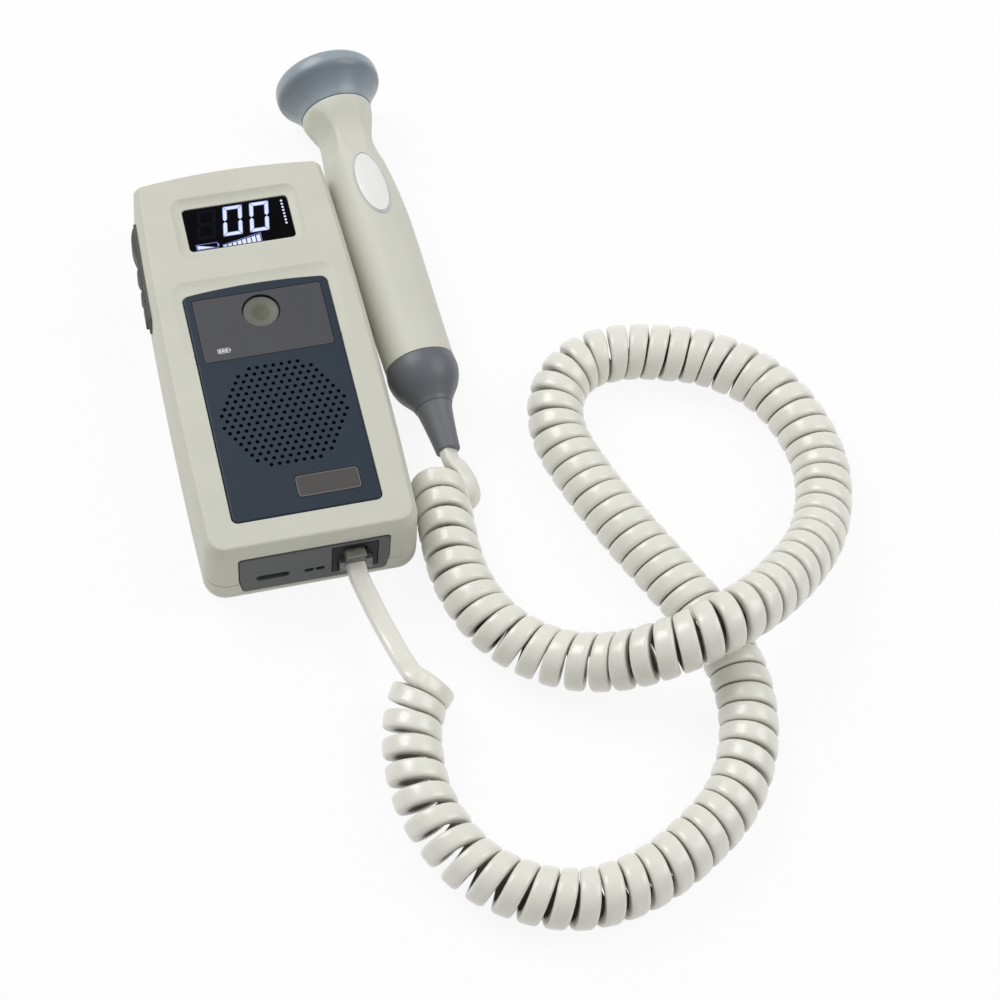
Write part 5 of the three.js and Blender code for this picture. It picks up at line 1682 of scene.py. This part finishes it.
def probeBarrel():
    start = probe["seamAt"] + probe["halfSeam"]
    end = probe["bootAt"] - probe["halfSeam"]
    count = barrel["rings"]
    heights = [start + (end - start) * (i / count) ** barrel["crowding"] for i in range(count + 1)]
    outer = [(barrelRadiusAt(height), height) for height in heights]
    for i in (0, -1):
        outer[i] = (outer[i][0] - barrel["endRound"], outer[i][1])
    few = heights[::-barrel["innerStep"]]
    inner = [(barrelRadiusAt(height) - probe["wall"], height) for height in few]
    shape = spun(outer + inner, 144, loop=True)
    for vert in shape.verts:
        reach = math.hypot(vert.co.x, vert.co.y)
        if reach > barrelRadiusAt(vert.co.z) - barrel["skin"]:
            scoop = scoopAt(vert.co.z, math.atan2(vert.co.y, vert.co.x))
            vert.co.x *= 1 - scoop / reach
            vert.co.y *= 1 - scoop / reach
    return settle("probeBarrel", shape, barrelIvory, "probe", ("probe_barrel",), toProbe)


# Blue-grey plastic of the head, with a painted highlight on its rim and at its collar and painted shade on
# the flare between them
def headPlastic():
    paint = Paint("headBlue", {"IOR": 1.5})
    along = (toProbe.to_3x3() @ Vector((0, 0, 1))).normalized()
    height = paint.measured("DOT_PRODUCT", paint.place(), tuple(along))
    seat = toProbe.translation.dot(along)
    share = paint.ramp(height, seat + probe["headAt"] * mm, seat + probe["seamAt"] * mm)
    # painted highlight at the rim, painted shade on the flare, and a painted highlight again towards the
    # collar
    stops = [
        (0.0, (0.320, 0.375, 0.415, 1)),
        (0.18, (0.190, 0.230, 0.262, 1)),
        (0.45, (0.205, 0.250, 0.285, 1)),
        (0.85, (0.285, 0.340, 0.380, 1)),
    ]
    band = paint.node("ShaderNodeValToRGB", {"stops": stops}, {"Fac": share})
    speck = paint.noise(1700, 3)
    drift = paint.noise(45, 4)
    paint.set("Base Color", paint.mixed(0.94 + drift * 0.06, (0.1, 0.1, 0.1, 1), band))
    paint.set("Roughness", 0.3 + (speck - 0.5) * 0.14)
    paint.relief(speck, 0.3, "moulded")
    return paint.material


headBlue = headPlastic()


# The flare's outline, as shares of the head's radius and of the height of its widest ring
head = {
    "flareShares": ((0.975, 0.83), (0.88, 0.66), (0.735, 0.36)),
    "rimShares": ((0.93, 1), (0.985, 0.925)),
    "collar": 0.1,
    "boreRadius": 10.6,
    "boreEnd": -9.5,
    "wellRadius": 15.6,
    "wellEnd": -16.4,
    "mouthRadius": 17.6,
}
face = {"radius": 17.4, "back": -16.7, "thickness": 2, "crown": 1.6, "steps": 14}


def probeHead():
    radius = probe["headRadius"]
    low = probe["seamAt"] - probe["halfSeam"]
    end = probe["headEnd"]
    outside = [(head["mouthRadius"], end)]
    outside += [(radius * wide, end * tall) for wide, tall in head["rimShares"]]
    outside.append((radius, probe["headAt"]))
    outside += [(radius * wide, probe["headAt"] * tall) for wide, tall in head["flareShares"]]
    outside.append((probe["neckRadius"] + head["collar"], low))
    inside = [(head["boreRadius"], low), (head["boreRadius"], head["boreEnd"])]
    inside += [(head["wellRadius"], head["boreEnd"]), (head["wellRadius"], head["wellEnd"])]
    inside.append((head["mouthRadius"], head["wellEnd"]))
    profile = [tuple(point) for point in smoothLine(outside, 8)] + inside
    shape = spun(profile, 128, loop=True)
    return settle("probeHead", shape, headBlue, "probe", ("probe_head",), toProbe)


# Acoustic face: a crowned disc in the mouth of the head
def probeFace():
    back, radius, steps = face["back"], face["radius"], face["steps"]
    profile = []
    for step in range(steps + 1):
        turn = math.pi / 2 * step / steps
        crown = face["crown"] * math.cos(turn) ** 2
        profile.append((radius * math.sin(turn), back - face["thickness"] - crown))
    profile += [(radius, back), (0, back)]
    return settle("probeFace", spun(profile, 96), faceBlue, "probe", ("probe_face",), toProbe)


boot = {
    "startRound": 0.12,
    "startRise": 0.15,
    "leadIn": (0.02, 0.5),
    "outline": ((12.7, 120.4), (11.3, 123.8), (9.0, 127.2), (7.5, 129.6)),
    "endRadius": 7.05,
    "boreRadius": 3.6,
    "spigotRadius": 10.5,
    "spigot": 5,
}
relief = {
    "root": 6,
    "rootRadius": 3.1,
    "frontRadius": 6.85,
    "rises": ((6.75, 0.3), (6.2, 3.2)),
    "outline": ((5.7, 138), (4.95, 144.5)),
    "tipRadius": 4.3,
    "tipRound": (0.2, 0.25),
}


def probeBoot():
    front = probe["bootAt"] + probe["halfSeam"]
    radius = probe["seamRadius"]
    outside = [(radius - boot["startRound"], front), (radius, front + boot["startRise"])]
    out, rise = boot["leadIn"]
    bulge = [(radius + out, front + rise), (probe["bulgeRadius"], probe["bulgeAt"])]
    outside += [tuple(point) for point in smoothLine([*bulge, *boot["outline"]], 6)]
    outside.append((boot["endRadius"], probe["reliefAt"]))
    spigotEnd = front - boot["spigot"]
    inside = [(boot["boreRadius"], probe["reliefAt"]), (boot["boreRadius"], spigotEnd)]
    inside += [(boot["spigotRadius"], spigotEnd), (boot["spigotRadius"], front)]
    shape = spun(outside + inside, 112, loop=True)
    return settle("probeBoot", shape, bootGrey, "probe", ("probe_boot",), toProbe)


def strainRelief():
    front = probe["reliefAt"] + probe["halfSeam"] / 2
    tip = probe["tipAt"]
    root = front - relief["root"]
    profile = [(0, root), (relief["rootRadius"], root), (relief["rootRadius"], front)]
    profile.append((relief["frontRadius"], front))
    profile += [(radius, front + rise) for radius, rise in relief["rises"]]
    profile += relief["outline"]
    wide, back = relief["tipRound"]
    profile += [(relief["tipRadius"] + wide, tip - back), (relief["tipRadius"], tip), (0, tip)]
    shape = spun(profile, 72)
    return settle("strainRelief", shape, bootRubber, "probe", ("strain_relief",), toProbe)


sticker = {
    "length": 29.6,
    "width": 11.8,
    "at": 39,
    "turn": 81,
    "lift": 0.12,
    "sheet": 0.3,
    "columns": 36,
    "rows": 24,
}


# Oval label, a disc of cells wrapped round the barrel
def ovalLabel():
    shape = bmesh.new()
    bmesh.ops.create_grid(shape, x_segments=sticker["columns"], y_segments=sticker["rows"], size=1)
    uv = shape.loops.layers.uv.new("disc")
    for vert in shape.verts:
        x, y = vert.co.x, vert.co.y
        vert.co.x = x * math.sqrt(1 - y * y / 2)
        vert.co.y = y * math.sqrt(1 - x * x / 2)
    for cell in shape.faces:
        for loop in cell.loops:
            loop[uv].uv = (loop.vert.co.x, loop.vert.co.y)
    for vert in shape.verts:
        height = sticker["at"] + sticker["length"] / 2 * vert.co.x
        radius = barrelRadiusAt(height) + sticker["lift"] + sticker["sheet"]
        angle = math.radians(sticker["turn"]) + sticker["width"] / 2 * vert.co.y / radius
        vert.co = Vector((radius * math.cos(angle), radius * math.sin(angle), height))
    turn = math.radians(sticker["turn"])
    out = Vector((math.cos(turn), math.sin(turn), 0))
    shape.normal_update()
    if sum((cell.normal for cell in shape.faces), Vector()).dot(out) < 0:
        bmesh.ops.reverse_faces(shape, faces=shape.faces)
    piece = settle("ovalLabel", shape, label, "probe", ("probe_label",), toProbe, closed=False)
    wall = piece.modifiers.new("sheet", "SOLIDIFY")
    wall.thickness = sticker["sheet"] * mm
    wall.offset = -1
    return piece


probeBarrel()
probeHead()
probeFace()
probeBoot()
strainRelief()
ovalLabel()
print("probe made")


# Inner parts keep their own shapes
inner = {
    "display_module": black,
    "display_board": circuit,
    "speaker_frame": steel,
    "speaker_cone": paper,
    "speaker_magnet": steel,
    "main_board": circuit,
    "battery_pack": battery,
    "jack_contacts": gold,
    "key_board": circuit,
    "crystal_transmit": ceramic,
    "crystal_receive": ceramic,
    "backing_disc": black,
    "probe_board": circuit,
}
for node, material in inner.items():
    dress(node, material)


# Table, backdrop and lights, in metres and watts
studio = {
    "tableSize": 8,
    "tableColor": (0.9, 0.9, 0.9, 1),
    "whiteShare": 0.9,
    "sky": 0.42,
    "aim": (0.02, -0.08, 0),
    "softBoxes": [
        {"name": "keyLight", "spot": (-0.95, 1.15, 1.75), "size": 1.3, "power": 27},
        {"name": "sideFill", "spot": (1.35, -0.2, 1.35), "size": 1.2, "power": 12},
    ],
}


def makeTable():
    shape = bmesh.new()
    bmesh.ops.create_grid(shape, x_segments=1, y_segments=1, size=studio["tableSize"])
    mesh = bpy.data.meshes.new("table")
    shape.to_mesh(mesh)
    shape.free()
    table = bpy.data.objects.new("table", mesh)
    scene.collection.objects.link(table)
    paint = Paint("tableTop", {"Base Color": studio["tableColor"], "Roughness": 0.9})
    rays = ("Is Camera Ray", "Is Glossy Ray", "Is Transmission Ray")
    seen, glossy, through = [paint.node("ShaderNodeLightPath", out=ray) for ray in rays]
    white = paint.node("ShaderNodeEmission", {}, {"Color": (1, 1, 1, 1), "Strength": 1.0})
    share = seen.maths("MAXIMUM", seen, glossy.maths("MAXIMUM", glossy, through)) * studio["whiteShare"]
    plain = Wire(paint, paint.shader.outputs[0])
    mix = paint.node("ShaderNodeMixShader", {}, {0: share, 1: plain, 2: white})
    paint.feed(paint.tree.nodes["Material Output"].inputs["Surface"], mix)
    mesh.materials.append(paint.material)


# White to the camera, and dimmer as a light
class Sky(Paint):
    def __init__(self, name):
        self.world = bpy.data.worlds.new(name)
        self.world.use_nodes = True
        self.tree = self.world.node_tree
        self.shader = self.tree.nodes["Background"]


def makeSky():
    sky = Sky("sky")
    seen = sky.node("ShaderNodeLightPath", out="Is Camera Ray")
    sky.set("Color", (1, 1, 1, 1))
    sky.set("Strength", seen * (1 - studio["sky"]) + studio["sky"])
    scene.world = sky.world


def makeLights():
    aim = Vector(studio["aim"])
    for lamp in studio["softBoxes"]:
        data = bpy.data.lights.new(lamp["name"], "AREA")
        data.shape = "SQUARE"
        data.size = lamp["size"]
        data.energy = lamp["power"]
        light = bpy.data.objects.new(lamp["name"], data)
        spot = Vector(lamp["spot"])
        turn = (aim - spot).to_track_quat("-Z", "Y").to_matrix().to_4x4()
        light.matrix_world = Matrix.Translation(spot) @ turn
        scene.collection.objects.link(light)


makeTable()
makeSky()
makeLights()
print("studio made")
